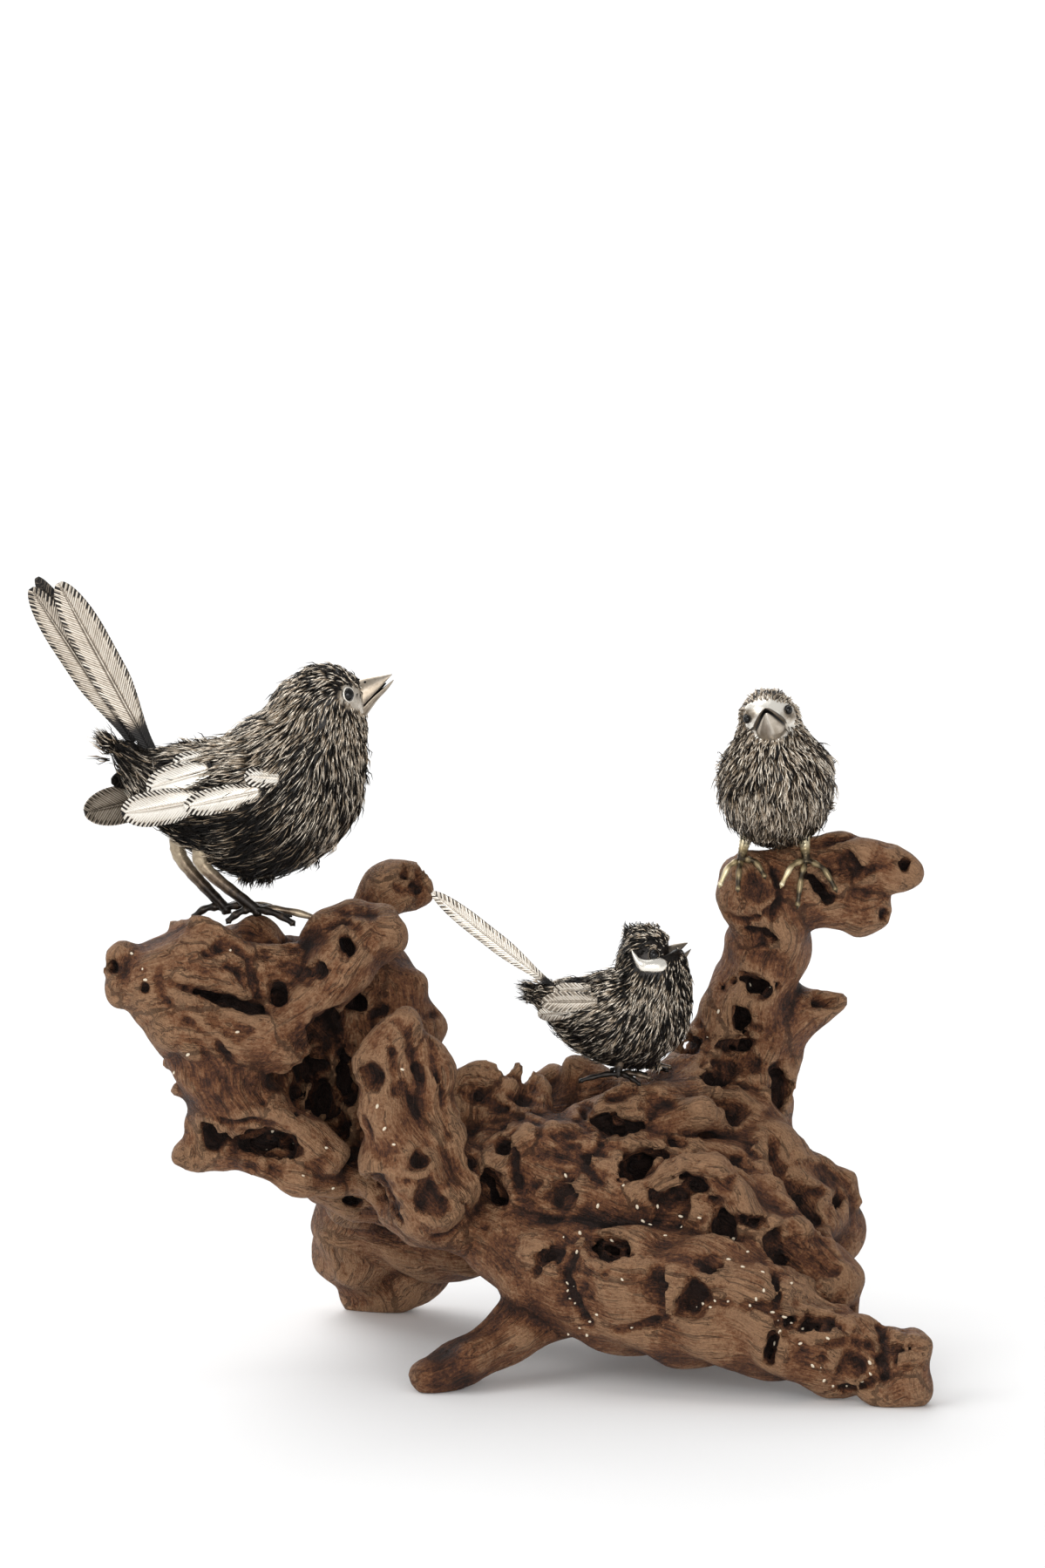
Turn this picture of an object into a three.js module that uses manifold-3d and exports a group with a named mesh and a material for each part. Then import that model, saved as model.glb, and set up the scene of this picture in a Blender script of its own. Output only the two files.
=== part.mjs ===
// Three small silver birds on a piece of driftwood. Millimetres, +Z up, +X along the wood,
// the viewer on the -Y side. The wood stands on three feet at z = 0.

import * as THREE from 'three';
import { mergeVertices } from 'three/addons/utils/BufferGeometryUtils.js';
import Module from 'manifold-3d';

const wasm = await Module();
wasm.setup();

// Driving dimensions
const cellSize = 7.2;          // facet size of the driftwood
const blendReach = 5.0;        // how softly one limb runs into the next
const barkLoss = 1.2;          // wood worn off every limb
const pitBlend = 2.0;          // how softly a hollow breaks the surface
const smallestPit = 4.9;       // hollows narrower than this are left to the surface finish
const plateThickness = 0.8;    // silver feather plates
const clearance = 0.3;         // between pieces that touch
const bodySides = 12;          // facets round a bird
const bodyRings = 13;          // rings from a bird's tail to its crown
const rodSides = 5;            // facets round a leg, a toe or a beak
const centreShift = [0.45, 1.8];   // brings the middle of the object over the origin
const viewTilt = 10 * Math.PI / 180;  // hollows are worn in along this downward direction

// Colours
const colours = {
  wood: 0x7a543c,
  plume: 0x6f6a64,
  paleplume: 0x8d867c,
  feather: 0xc9c4bb,
  beak: 0xd8d4cc,
  darkbeak: 0x4a4642,
  eye: 0x16130f,
  leg: 0x6d5a45,
  brassleg: 0xb9a377,
};

// Driftwood limbs: each is a chain of rounds, [x, y, z, radius].
const limbs = {
  snout: [
    [-104, -26, 113.5, 7.5], [-95, -26, 115, 10.2], [-84, -25, 116.5, 11.6],
    [-74, -24, 114.5, 10.5],
  ],
  snoutLip: [[-107, -28, 113, 3.8], [-103, -26, 119, 5], [-102, -26, 121.5, 3.6]],
  snoutCrest: [[-91, -22, 121.5, 5], [-83, -22, 124, 6], [-75, -22, 122.5, 5.5]],
  jaw: [[-99, -26, 107, 7], [-86, -26, 102, 10], [-71, -26, 99, 11], [-60, -24, 98, 10]],
  foreArm: [
    [-60, -24, 98, 10], [-51, -22, 106, 9.5], [-43, -20, 115.5, 10], [-36, -18, 122.5, 9.5],
    [-28, -17, 123.5, 7], [-24, -17, 123, 3.8],
  ],
  armBurl: [[-43, -14, 124.5, 7], [-37, -12, 126.5, 6.5], [-30, -12, 129, 5.6]],
  crown: [[-65, -20, 115, 7.5], [-58, -16, 115.5, 7.5], [-52, -14, 114, 8]],
  crownBack: [[-70, -2, 114, 9], [-58, 0, 113, 10], [-44, 4, 112, 10]],
  toeLump: [[-73, 0, 120.5, 6.6], [-65, -5, 122, 7.6]],
  neck: [[-84, -24, 104, 11], [-76, -22, 88, 12.5], [-71, -20, 76, 13.5]],
  neckBack: [[-78, -4, 106, 11], [-68, 0, 90, 12.5], [-60, 2, 76, 12.5]],
  backWall: [[-62, 6, 106, 10], [-52, 8, 98, 10], [-46, 12, 86, 11]],
  footRoof: [[-76, -22, 74, 8.5], [-62, -22, 75, 8.5], [-52, -22, 69, 7.5], [-44, -22, 61, 6.5]],
  footHeel: [[-82, -20, 68, 5.5], [-82, -20, 62, 6.2], [-86, -20, 60.2, 4.2]],
  footFloor: [[-80, -18, 60, 6], [-66, -20, 59, 7], [-54, -20, 56, 8], [-45, -18, 53, 7]],
  footBack: [[-74, -6, 68, 10], [-60, -4, 64, 11], [-46, 0, 58, 10]],
  barbHigh: [[-87, -18, 91, 4.4], [-90, -18, 89, 3]],
  barbLow: [[-84, -18, 82, 5], [-88, -18, 81, 3.8]],
  knobArm: [
    [-45, 6, 106, 7.6], [-36.5, 8, 116, 6.6], [-30.5, 9, 127, 6.2], [-25.5, 9, 133, 6.8], [-21, 8, 135.5, 7.2],
  ],
  knobCap: [[-26, 8, 139.5, 5], [-20, 8, 138.6, 5.6]],
  backTrunk: [
    [-30, 20, 50, 17], [-34, 18, 68, 17], [-34, 16, 84, 16], [-33, 14, 98, 15],
    [-32, 10, 108, 11.5],
  ],
  backFlank: [[-20, 4, 60, 14], [-20, 4, 78, 12], [-22, 6, 92, 11], [-26, 6, 106, 8]],
  web: [[-46, 10, 96, 8], [-52, 8, 86, 8], [-52, 8, 74, 8], [-44, 6, 64, 9]],
  stumpLeft: [
    [-24, -34, 100, 8], [-27, -36, 90, 9], [-26.5, -38, 76, 10], [-21, -38, 62, 12],
    [-14, -36, 50, 12],
  ],
  stumpRight: [
    [-16, -32, 95, 6.6], [-14.5, -33, 86, 7.5], [-12.5, -33, 72, 8.5], [-8, -32, 58, 9.5],
  ],
  stumpRoot: [[-20, -20, 70, 10], [-14, -18, 56, 14], [-4, -14, 46, 15]],
  bridge: [
    [-44, -14, 54, 6], [-36, -16, 53, 5], [-28, -24, 47, 5], [-20, -30, 43, 5.6],
    [-8, -32, 43, 7.5],
  ],
  bridgeBack: [[-46, 6, 52, 9], [-34, 8, 50, 12], [-20, 6, 48, 14], [0, 0, 46, 16]],
  rearLeg: [
    [-31, 64, 6.5, 9.5], [-36, 57, 20, 13.5], [-33, 50, 31, 15], [-16, 45, 27, 15.5],
    [2, 38, 31, 15], [20, 26, 36, 16],
  ],
  hoof: [[-38, 62, 10, 8], [-28, 66, 5.6, 9], [-18, 60, 14, 9.5], [-6, 50, 22, 10]],
  rearHip: [[-34, 34, 42, 13], [-30, 24, 54, 14]],
  peg: [
    [20, -32, 25, 11.5], [7, -42, 16.5, 9], [-4, -50, 10, 7.4], [-12, -56, 4.6, 7.4],
    [-14.5, -57.5, 3, 7.2],
  ],
  frontLog: [
    [6, -26, 40, 14], [22, -36, 30, 17], [42, -48, 27, 19], [62, -54, 25, 20],
    [82, -58, 21.5, 18], [98, -63, 15.5, 13.4], [109, -68, 10.5, 11],
  ],
  endKnob: [[118, -70, 11, 9], [121.5, -71, 9.5, 8.6]],
  endFoot: [[116, -73, 4.6, 6.8], [121, -72, 6, 7.4]],
  midLog: [
    [2, -14, 58, 15], [20, -20, 54, 19], [42, -24, 50, 21], [62, -26, 44, 22],
    [80, -32, 36, 19], [96, -44, 26, 15],
  ],
  rearLog: [
    [10, 10, 54, 18], [36, 14, 52, 22], [60, 14, 50, 23], [80, 8, 46, 20], [93, -6, 36, 16],
  ],
  rightLobe: [[91, -6, 54, 11.6], [96, -4, 46, 12.4], [96.5, -8, 34, 11]],
  shoulder: [[70, -4, 62, 17], [81, -8, 58, 15], [89, -18, 46, 14]],
  underBack: [[30, 40, 34, 14], [52, 44, 30, 15], [70, 36, 30, 15]],
  crestA: [[-4, -10, 74, 6.4], [0, -8, 80, 5]],
  crestB: [[4, -12, 72, 8], [9, -8, 79, 5.2]],
  crestC: [[14, -10, 72, 7.4], [16, -6, 75.5, 4.6]],
  crestD: [[12, -28, 66, 7], [4, -30, 62, 6]],
  crestE: [[17, 14, 72, 6.4], [18, 16, 77, 4]],
  crestF: [[26, 14, 72, 7.4], [28, 14, 78, 4.4]],
  perch: [[30, -18, 72, 8], [40, -20, 76, 9], [50, -16, 76, 8], [60, -12, 74, 8]],
  perchTail: [[52, -24, 73, 6], [62, -24, 74, 5.5], [67, -22, 72, 5]],
  perchNeck: [[44, -8, 66, 14], [60, 0, 76, 12]],
  rim: [
    [48, -44, 58, 4.6], [56, -46, 64, 4.4], [66, -45, 63, 4.4], [73, -46, 57, 4.4],
    [75, -48, 50, 4.6],
  ],
  branch: [
    [74, 12, 66, 17], [75, 14, 80, 15], [77, 14, 92, 16], [79, 12, 103, 14.6],
    [82, 10, 113, 12.4], [84, 7, 122, 11.8], [84, 4, 130, 12.2],
  ],
  branchLeft: [[64, 8, 88, 9], [66, 10, 97, 8]],
  branchSpike: [[86, 12, 92, 9], [94, 12, 96.5, 7]],
  branchBack: [[84, 12, 72, 9], [84, 14, 80, 8.4]],
  seat: [[77, -2, 138, 8.6], [78, 0, 136, 9.4]],
  seatBridge: [[78, 4, 138, 9], [92, 2, 138, 9], [100, 2, 140, 9]],
  crownRight: [
    [94, 4, 144, 6.4], [103, 4, 145, 6.6], [110, 2, 141, 8.4], [118, 0, 140, 6.8],
    [122, 0, 139.6, 5.4],
  ],
  crownDrop: [[104, 2, 134, 7.8], [110, 0, 129, 7.8], [113, 0, 128, 6.4]],
};

// Hollows, holes and cracks, as met from the front: [x, height, half width, half height, depth, slope].
const pits = {
  footCave: [-65, 61.5, 12, 5.6, 13, -8],
  mouth: [-78, 106.5, 9, 1.8, 8, -20],
  mouthEnd: [-68, 102.5, 5, 2, 6, -10],
  jawHole: [-58, 103.5, 3.8, 4, 8, 30],
  darkWell: [-44, 94, 8.5, 8, 14, 10],
  darkWell2: [-49, 80, 7, 5, 8, 0],
  darkWell3: [-42, 70, 4, 8, 7, 0],
  armEye: [-38.5, 119.5, 2.6, 3.6, 8, 10],
  armEye2: [-39, 125, 2.2, 1.8, 5, -30],
  knobEye: [-19, 139.5, 2.6, 3.4, 5, -30],
  knobEye2: [-23.5, 140.5, 1.8, 2.6, 3, 0],
  stumpEye: [-31.5, 82, 3.6, 3.6, 3.6, 0],
  stumpEye2: [-18.5, 58, 3.4, 2.8, 4.6, 0],
  stumpDish: [-14, 47.5, 6.5, 5, 4, 10],
  ringCave: [-28, 45.5, 4, 8.2, 10, 35],
  ringSlit: [-38, 45, 3.2, 1.6, 6, -20],
  socketA: [3.5, 49.5, 3.8, 6.4, 9, 30],
  socketB: [-3.5, 60, 2.8, 4.6, 6, -10],
  socketC: [6, 61, 2.4, 3.4, 5.5, 20],
  seamCave: [37, 32, 7.5, 4.2, 12, -10],
  notch: [22, 48, 6, 4.6, 4, 20],
  rimBowl: [62, 51, 8, 5.5, 7, -25],
  rimWell: [67, 37.5, 4.6, 5.6, 8, -25],
  slit: [82.5, 4, 2.2, 6.6, 8, -8],
  sideHole: [85, 28.5, 3.8, 3.8, 8, 0],
  sidePan: [90, 30, 10, 6, 4, -25],
  lobePan: [93, 47, 5, 8, 6, 40],
  lobeSlot: [100, 44, 2, 6, 4, 45],
  endDish: [102, -2, 8, 4.2, 2.6, 15],
  endPan: [98, 11, 8, 3, 3, 5],
  branchEye: [78, 107.5, 5.2, 3.4, 12, -5],
  branchEye2: [74, 97, 4.2, 5.4, 10, 15],
  branchEye3: [73, 89.5, 5.6, 3, 10, 0],
  branchEye4: [60, 91, 3.6, 4.6, 8, 20],
  branchSide: [86, 78, 4, 7.4, 8, 15],
  seatSlot: [98, 138, 5, 3.4, 8, -45],
  underSeat: [80, 128, 6, 3, 3, 30],
  perchEye: [39, 77, 5, 3.6, 5, 10],
  perchBowl: [40, 66, 8, 5, 7, -15],
  pool: [66, 79, 8, 4, 7, -20],
  pool2: [69, 70, 7, 5, 5, 20],
  gap: [46, 57, 4, 6, 12, 20],
  gap2: [76, 58, 6, 5, 5, -30],
  smallEye: [55, 63, 2.2, 2, 3, 0],
  lowPan: [60, 20, 6, 6, 4, 20],
  lowPan2: [62, 12, 4, 2.4, 4, 0],
};

// Box that the driftwood lies in, and the push and pull that makes its limbs uneven
const woodLow = [-124, -98, -14];
const woodHigh = [142, 90, 164];

function uneven(x, y, z) {
  return [
    x + 0.9 * Math.sin(0.11 * y + 0.7) + Math.sin(0.17 * z + 0.09 * x + 1.1)
      + 0.8 * Math.sin(0.37 * z - 0.2 * y + 2.0),
    y + 0.9 * Math.sin(0.12 * z + 2.3) + Math.sin(0.16 * x + 0.08 * y + 0.4)
      + 0.8 * Math.sin(0.35 * x + 0.22 * z + 0.5),
    z + 0.8 * Math.sin(0.13 * x + 1.9) + 0.9 * Math.sin(0.18 * y + 0.1 * z + 2.7)
      + 0.8 * Math.sin(0.39 * y - 0.18 * x + 1.2),
  ];
}

function softMin(a, b, reach) {
  const h = Math.max(reach - Math.abs(a - b), 0) / reach;
  return Math.min(a, b) - h * h * reach * 0.25;
}

// Distance to one tapered stretch of a limb
function stretchDistance(p, a, b) {
  const d = [b[0] - a[0], b[1] - a[1], b[2] - a[2]];
  const q = [p[0] - a[0], p[1] - a[1], p[2] - a[2]];
  const along = (q[0] * d[0] + q[1] * d[1] + q[2] * d[2]) / (d[0] * d[0] + d[1] * d[1] + d[2] * d[2]);
  const t = Math.min(1, Math.max(0, along));
  const gap = Math.hypot(q[0] - t * d[0], q[1] - t * d[1], q[2] - t * d[2]);
  return gap - (a[3] + (b[3] - a[3]) * t);
}

const stretches = [];
for (const rounds of Object.values(limbs)) {
  for (let i = 0; i + 1 < rounds.length; i += 1) {
    stretches.push([rounds[i], rounds[i + 1]]);
  }
}

// Below zero inside the uncut wood
function solidWood(x, y, z) {
  const p = uneven(x, y, z);
  let depth = 60;
  for (const [a, b] of stretches) {
    depth = softMin(depth, stretchDistance(p, a, b), blendReach);
  }
  return depth + barkLoss;
}

// A hollow starts where the downward line of sight first meets the wood
const inward = new THREE.Vector3(0, Math.cos(viewTilt), -Math.sin(viewTilt));

function placePit([x, height, halfWidth, halfHeight, depth, slope]) {
  const drop = Math.tan(viewTilt);
  let y = woodLow[1];
  while (y < woodHigh[1] && solidWood(x, y, height - drop * y) >= 0) {
    y += 0.5;
  }
  const angle = slope * Math.PI / 180;
  const across = new THREE.Vector3(Math.cos(angle), 0, Math.sin(angle));
  const up = new THREE.Vector3().crossVectors(across, inward).normalize();
  across.addScaledVector(inward, -across.dot(inward)).normalize();
  const centre = new THREE.Vector3(x, y, height - drop * y).addScaledVector(inward, depth * 0.15);
  return { centre, across, up, halfWidth, halfHeight, depth };
}

const placedPits = Object.values(pits)
  .filter(([, , halfWidth, halfHeight]) => Math.min(halfWidth, halfHeight) >= smallestPit)
  .map(placePit);

function wood(x, y, z) {
  let depth = solidWood(x, y, z);
  const q = new THREE.Vector3();
  for (const pit of placedPits) {
    q.set(x, y, z).sub(pit.centre);
    const e = Math.hypot(
      q.dot(pit.across) / pit.halfWidth,
      q.dot(pit.up) / pit.halfHeight,
      q.dot(inward) / pit.depth,
    );
    const outside = (e - 1) * Math.min(pit.halfWidth, pit.halfHeight, pit.depth);
    depth = -softMin(-depth, outside, pitBlend);
  }
  return depth;
}

// Turns the driftwood into facets: one corner in each cell that the surface crosses
function facetField(field, low, high, size) {
  const n = low.map((v, i) => Math.ceil((high[i] - v) / size) + 1);
  const at = (i, j, k) => (i * n[1] + j) * n[2] + k;
  const value = new Float64Array(n[0] * n[1] * n[2]);
  for (let i = 0; i < n[0]; i += 1) {
    for (let j = 0; j < n[1]; j += 1) {
      for (let k = 0; k < n[2]; k += 1) {
        value[at(i, j, k)] = field(low[0] + i * size, low[1] + j * size, low[2] + k * size);
      }
    }
  }
  keepOnePiece(value, n, at);
  openPinches(value, n, at);

  const corners = [];
  const cornerOf = new Map();
  const offsets = [];
  for (let c = 0; c < 8; c += 1) {
    offsets.push([c & 1, (c >> 1) & 1, (c >> 2) & 1]);
  }
  for (let i = 0; i + 1 < n[0]; i += 1) {
    for (let j = 0; j + 1 < n[1]; j += 1) {
      for (let k = 0; k + 1 < n[2]; k += 1) {
        const sum = [0, 0, 0];
        let crossings = 0;
        for (let a = 0; a < 8; a += 1) {
          for (const step of [1, 2, 4]) {
            if (a & step) {
              continue;
            }
            const p = offsets[a];
            const q = offsets[a | step];
            const va = value[at(i + p[0], j + p[1], k + p[2])];
            const vb = value[at(i + q[0], j + q[1], k + q[2])];
            if ((va < 0) === (vb < 0)) {
              continue;
            }
            const t = va / (va - vb);
            for (let d = 0; d < 3; d += 1) {
              sum[d] += p[d] + (q[d] - p[d]) * t;
            }
            crossings += 1;
          }
        }
        if (crossings === 0) {
          continue;
        }
        const cell = [i, j, k];
        const spot = sum.map((v, d) => low[d] + (cell[d] + v / crossings) * size);
        settle(spot, field, cell, low, size);
        cornerOf.set(at(i, j, k), corners.length / 3);
        corners.push(...spot);
      }
    }
  }

  const faces = [];
  const point = (c) => new THREE.Vector3().fromArray(corners, 3 * c);
  for (let i = 1; i + 1 < n[0]; i += 1) {
    for (let j = 1; j + 1 < n[1]; j += 1) {
      for (let k = 1; k + 1 < n[2]; k += 1) {
        const here = value[at(i, j, k)] < 0;
        const quads = [
          [[1, 0, 0], [[0, 0, 0], [0, -1, 0], [0, -1, -1], [0, 0, -1]]],
          [[0, 1, 0], [[0, 0, 0], [0, 0, -1], [-1, 0, -1], [-1, 0, 0]]],
          [[0, 0, 1], [[0, 0, 0], [-1, 0, 0], [-1, -1, 0], [0, -1, 0]]],
        ];
        for (const [step, round] of quads) {
          const next = value[at(i + step[0], j + step[1], k + step[2])] < 0;
          if (here === next) {
            continue;
          }
          const c = round.map((r) => cornerOf.get(at(i + r[0], j + r[1], k + r[2])));
          if (!here) {
            c.reverse();
          }
          if (point(c[0]).distanceTo(point(c[2])) < point(c[1]).distanceTo(point(c[3]))) {
            faces.push(c[0], c[1], c[2], c[0], c[2], c[3]);
          } else {
            faces.push(c[0], c[1], c[3], c[1], c[2], c[3]);
          }
        }
      }
    }
  }
  const geometry = new THREE.BufferGeometry();
  geometry.setAttribute('position', new THREE.Float32BufferAttribute(corners, 3));
  geometry.setIndex(faces);
  return geometry;
}

// Moves a corner onto the true surface without leaving its own cell
function settle(spot, field, cell, low, size) {
  const e = 0.5;
  for (let round = 0; round < 2; round += 1) {
    const [x, y, z] = spot;
    const f = field(x, y, z);
    const slope = [
      (field(x + e, y, z) - field(x - e, y, z)) / (2 * e),
      (field(x, y + e, z) - field(x, y - e, z)) / (2 * e),
      (field(x, y, z + e) - field(x, y, z - e)) / (2 * e),
    ];
    const steep = Math.max(0.2, slope[0] ** 2 + slope[1] ** 2 + slope[2] ** 2);
    for (let d = 0; d < 3; d += 1) {
      const least = low[d] + (cell[d] + 0.12) * size;
      const most = low[d] + (cell[d] + 0.88) * size;
      spot[d] = Math.min(most, Math.max(least, spot[d] - f * slope[d] / steep));
    }
  }
}

// Leaves one connected lump with no closed bubbles in it
function keepOnePiece(value, n, at) {
  const spread = (inside) => {
    const group = new Int32Array(value.length).fill(-1);
    const sizes = [];
    for (let start = 0; start < value.length; start += 1) {
      if (group[start] !== -1 || (value[start] < 0) !== inside) {
        continue;
      }
      const stack = [start];
      group[start] = sizes.length;
      let size = 0;
      while (stack.length > 0) {
        const here = stack.pop();
        size += 1;
        const k = here % n[2];
        const j = Math.floor(here / n[2]) % n[1];
        const i = Math.floor(here / (n[1] * n[2]));
        const near = [
          [i - 1, j, k], [i + 1, j, k], [i, j - 1, k],
          [i, j + 1, k], [i, j, k - 1], [i, j, k + 1],
        ];
        for (const [a, b, c] of near) {
          if (a < 0 || b < 0 || c < 0 || a >= n[0] || b >= n[1] || c >= n[2]) {
            continue;
          }
          const there = at(a, b, c);
          if (group[there] === -1 && (value[there] < 0) === inside) {
            group[there] = sizes.length;
            stack.push(there);
          }
        }
      }
      sizes.push(size);
    }
    return { group, largest: sizes.indexOf(Math.max(...sizes)) };
  };
  for (const inside of [true, false]) {
    const { group, largest } = spread(inside);
    for (let c = 0; c < value.length; c += 1) {
      if ((value[c] < 0) === inside && group[c] !== largest) {
        value[c] = inside ? 0.5 : -0.5;
      }
    }
  }
}

// Fills the places where the wood would touch itself at only an edge or a point
function openPinches(value, n, at) {
  const faceRings = [
    [0, 1, 3, 2], [4, 5, 7, 6], [0, 1, 5, 4], [2, 3, 7, 6], [0, 2, 6, 4], [1, 3, 7, 5],
  ];
  const countParts = (corner, inside) => {
    const seen = new Set();
    let parts = 0;
    for (let c = 0; c < 8; c += 1) {
      if ((corner[c] < 0) !== inside || seen.has(c)) {
        continue;
      }
      parts += 1;
      const stack = [c];
      seen.add(c);
      while (stack.length > 0) {
        const a = stack.pop();
        for (const step of [1, 2, 4]) {
          const b = a ^ step;
          if ((corner[b] < 0) === inside && !seen.has(b)) {
            seen.add(b);
            stack.push(b);
          }
        }
      }
    }
    return parts;
  };
  let changed = true;
  while (changed) {
    changed = false;
    for (let i = 0; i + 1 < n[0]; i += 1) {
      for (let j = 0; j + 1 < n[1]; j += 1) {
        for (let k = 0; k + 1 < n[2]; k += 1) {
          const cells = [];
          for (let c = 0; c < 8; c += 1) {
            cells.push(at(i + (c & 1), j + ((c >> 1) & 1), k + ((c >> 2) & 1)));
          }
          const corner = cells.map((c) => value[c]);
          const checker = faceRings.some((ring) => {
            const s = ring.map((c) => corner[c] < 0);
            return s[0] === s[2] && s[1] === s[3] && s[0] !== s[1];
          });
          if (checker || countParts(corner, true) > 1 || countParts(corner, false) > 1) {
            let best = -1;
            for (let c = 0; c < 8; c += 1) {
              if (corner[c] >= 0 && (best < 0 || corner[c] < corner[best])) {
                best = c;
              }
            }
            value[cells[best]] = -0.4;
            changed = true;
          }
        }
      }
    }
  }
}

// Closed solids in and out of the joining and cutting library
function solidOf(geometry) {
  const bare = geometry.clone();
  bare.deleteAttribute('normal');
  bare.deleteAttribute('uv');
  const merged = mergeVertices(bare, 1e-4);
  return new wasm.Manifold(new wasm.Mesh({
    numProp: 3,
    vertProperties: new Float32Array(merged.attributes.position.array),
    triVerts: new Uint32Array(merged.index.array),
  }));
}

function geometryOf(solid) {
  const mesh = solid.getMesh();
  const geometry = new THREE.BufferGeometry();
  geometry.setAttribute('position', new THREE.BufferAttribute(new Float32Array(mesh.vertProperties), 3));
  geometry.setIndex(Array.from(mesh.triVerts));
  return geometry;
}

function moved(geometry, x, y, z) {
  return geometry.clone().translate(x, y, z);
}

// Skin over a row of rings, closed at both ends by a middle point
function skin(rings, firstEnd, lastEnd) {
  const sides = rings[0].length;
  const positions = [];
  for (const ring of rings) {
    for (const p of ring) {
      positions.push(p.x, p.y, p.z);
    }
  }
  positions.push(firstEnd.x, firstEnd.y, firstEnd.z, lastEnd.x, lastEnd.y, lastEnd.z);
  const first = rings.length * sides;
  const last = first + 1;
  const faces = [];
  for (let s = 0; s < sides; s += 1) {
    const t = (s + 1) % sides;
    faces.push(first, t, s);
    for (let r = 0; r + 1 < rings.length; r += 1) {
      const a = r * sides;
      const b = a + sides;
      faces.push(a + s, a + t, b + t, a + s, b + t, b + s);
    }
    const end = (rings.length - 1) * sides;
    faces.push(last, end + s, end + t);
  }
  const geometry = new THREE.BufferGeometry();
  geometry.setAttribute('position', new THREE.Float32BufferAttribute(positions, 3));
  geometry.setIndex(faces);
  return geometry;
}

// Bird's body: oval rings along a spine in the bird's own middle plane.
// A station is [x, z, half height, half width, sideways shift].
function bodySkin(stations, swell) {
  const spine = new THREE.CatmullRomCurve3(
    stations.map(([x, z, , , shift = 0]) => new THREE.Vector3(x, shift, z)),
  );
  const girth = new THREE.CatmullRomCurve3(
    stations.map(([, , halfHeight, halfWidth]) => new THREE.Vector3(halfHeight, halfWidth, 0)),
  );
  const across = new THREE.Vector3(0, 1, 0);
  const rings = [];
  for (let i = 0; i < bodyRings; i += 1) {
    const u = i / (bodyRings - 1);
    const middle = spine.getPoint(u);
    const along = spine.getTangent(u).setY(0).normalize();
    const up = new THREE.Vector3().crossVectors(along, across).normalize();
    const size = girth.getPoint(u);
    const ring = [];
    for (let s = 0; s < bodySides; s += 1) {
      const angle = 2 * Math.PI * s / bodySides;
      ring.push(middle.clone()
        .addScaledVector(across, Math.cos(angle) * (size.y + swell))
        .addScaledVector(up, Math.sin(angle) * (size.x + swell)));
    }
    rings.push(ring);
  }
  const firstWay = spine.getTangent(0).multiplyScalar(-(stations[0][2] * 0.5 + swell));
  const lastWay = spine.getTangent(1).multiplyScalar(stations[stations.length - 1][2] * 0.4 + swell);
  return skin(rings, spine.getPoint(0).add(firstWay), spine.getPoint(1).add(lastWay));
}

// Tapering rod through a few points, [x, y, z, radius], rounded off at both ends
function rod(points, sides, flat = 1) {
  const middle = points.map(([x, y, z]) => new THREE.Vector3(x, y, z));
  const rings = [];
  let side = new THREE.Vector3(0, 1, 0);
  for (let i = 0; i < points.length; i += 1) {
    const before = middle[Math.max(0, i - 1)];
    const after = middle[Math.min(points.length - 1, i + 1)];
    const along = new THREE.Vector3().subVectors(after, before).normalize();
    if (Math.abs(along.dot(side)) > 0.9) {
      side = new THREE.Vector3(1, 0, 0);
    }
    side = side.clone().addScaledVector(along, -side.dot(along)).normalize();
    const up = new THREE.Vector3().crossVectors(along, side).normalize();
    const radius = points[i][3];
    const ring = [];
    for (let s = 0; s < sides; s += 1) {
      const angle = 2 * Math.PI * s / sides;
      ring.push(middle[i].clone()
        .addScaledVector(side, Math.cos(angle) * radius * flat)
        .addScaledVector(up, Math.sin(angle) * radius));
    }
    rings.push(ring);
  }
  const start = middle[0].clone().sub(middle[1]).setLength(points[0][3] * 0.6).add(middle[0]);
  const count = points.length;
  const finish = middle[count - 1].clone().sub(middle[count - 2])
    .setLength(points[count - 1][3] * 0.6).add(middle[count - 1]);
  return skin(rings, start, finish);
}

function paint(colour, roughness, metalness) {
  return new THREE.MeshStandardMaterial({ color: colour, roughness, metalness });
}

function piece(name, geometry, material) {
  const mesh = new THREE.Mesh(geometry, material);
  mesh.name = name;
  return mesh;
}

// The driftwood, with its feet trimmed level
const floorBox = new THREE.BoxGeometry(600, 600, 60).translate(0, 0, -30);
const spike = [[86, 12, 93, 7], [94, 12, 97, 5.4], [99, 12, 100, 3.6], [104, 12, 102, 1.2]];
const driftwoodSolid = solidOf(facetField(wood, woodLow, woodHigh, cellSize))
  .add(solidOf(rod(spike, 2 * rodSides)))
  .subtract(solidOf(floorBox));
const driftwood = geometryOf(driftwoodSolid);

// Shape of a feather plate from its quill, at x = 0, to its tip
function vaneHalfWidth(t, width) {
  const spread = Math.min(1, t / 0.4);
  const opening = 0.3 + 0.7 * spread * spread * (3 - 2 * spread);
  const closing = t < 0.7 ? 1 : Math.sqrt(Math.max(0, 1 - ((t - 0.7) / 0.31) ** 2));
  return width / 2 * opening * closing;
}

function plateGeometry(length, width) {
  const steps = [0, 0.22, 0.45, 0.75, 0.93];
  const shape = new THREE.Shape();
  shape.moveTo(0, vaneHalfWidth(0, width));
  for (const t of steps.slice(1)) {
    shape.lineTo(t * length, vaneHalfWidth(t, width));
  }
  shape.lineTo(length, 0);
  for (const t of steps.slice().reverse()) {
    shape.lineTo(t * length, -vaneHalfWidth(t, width));
  }
  return new THREE.ExtrudeGeometry(shape, { depth: plateThickness, bevelEnabled: false });
}

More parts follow.
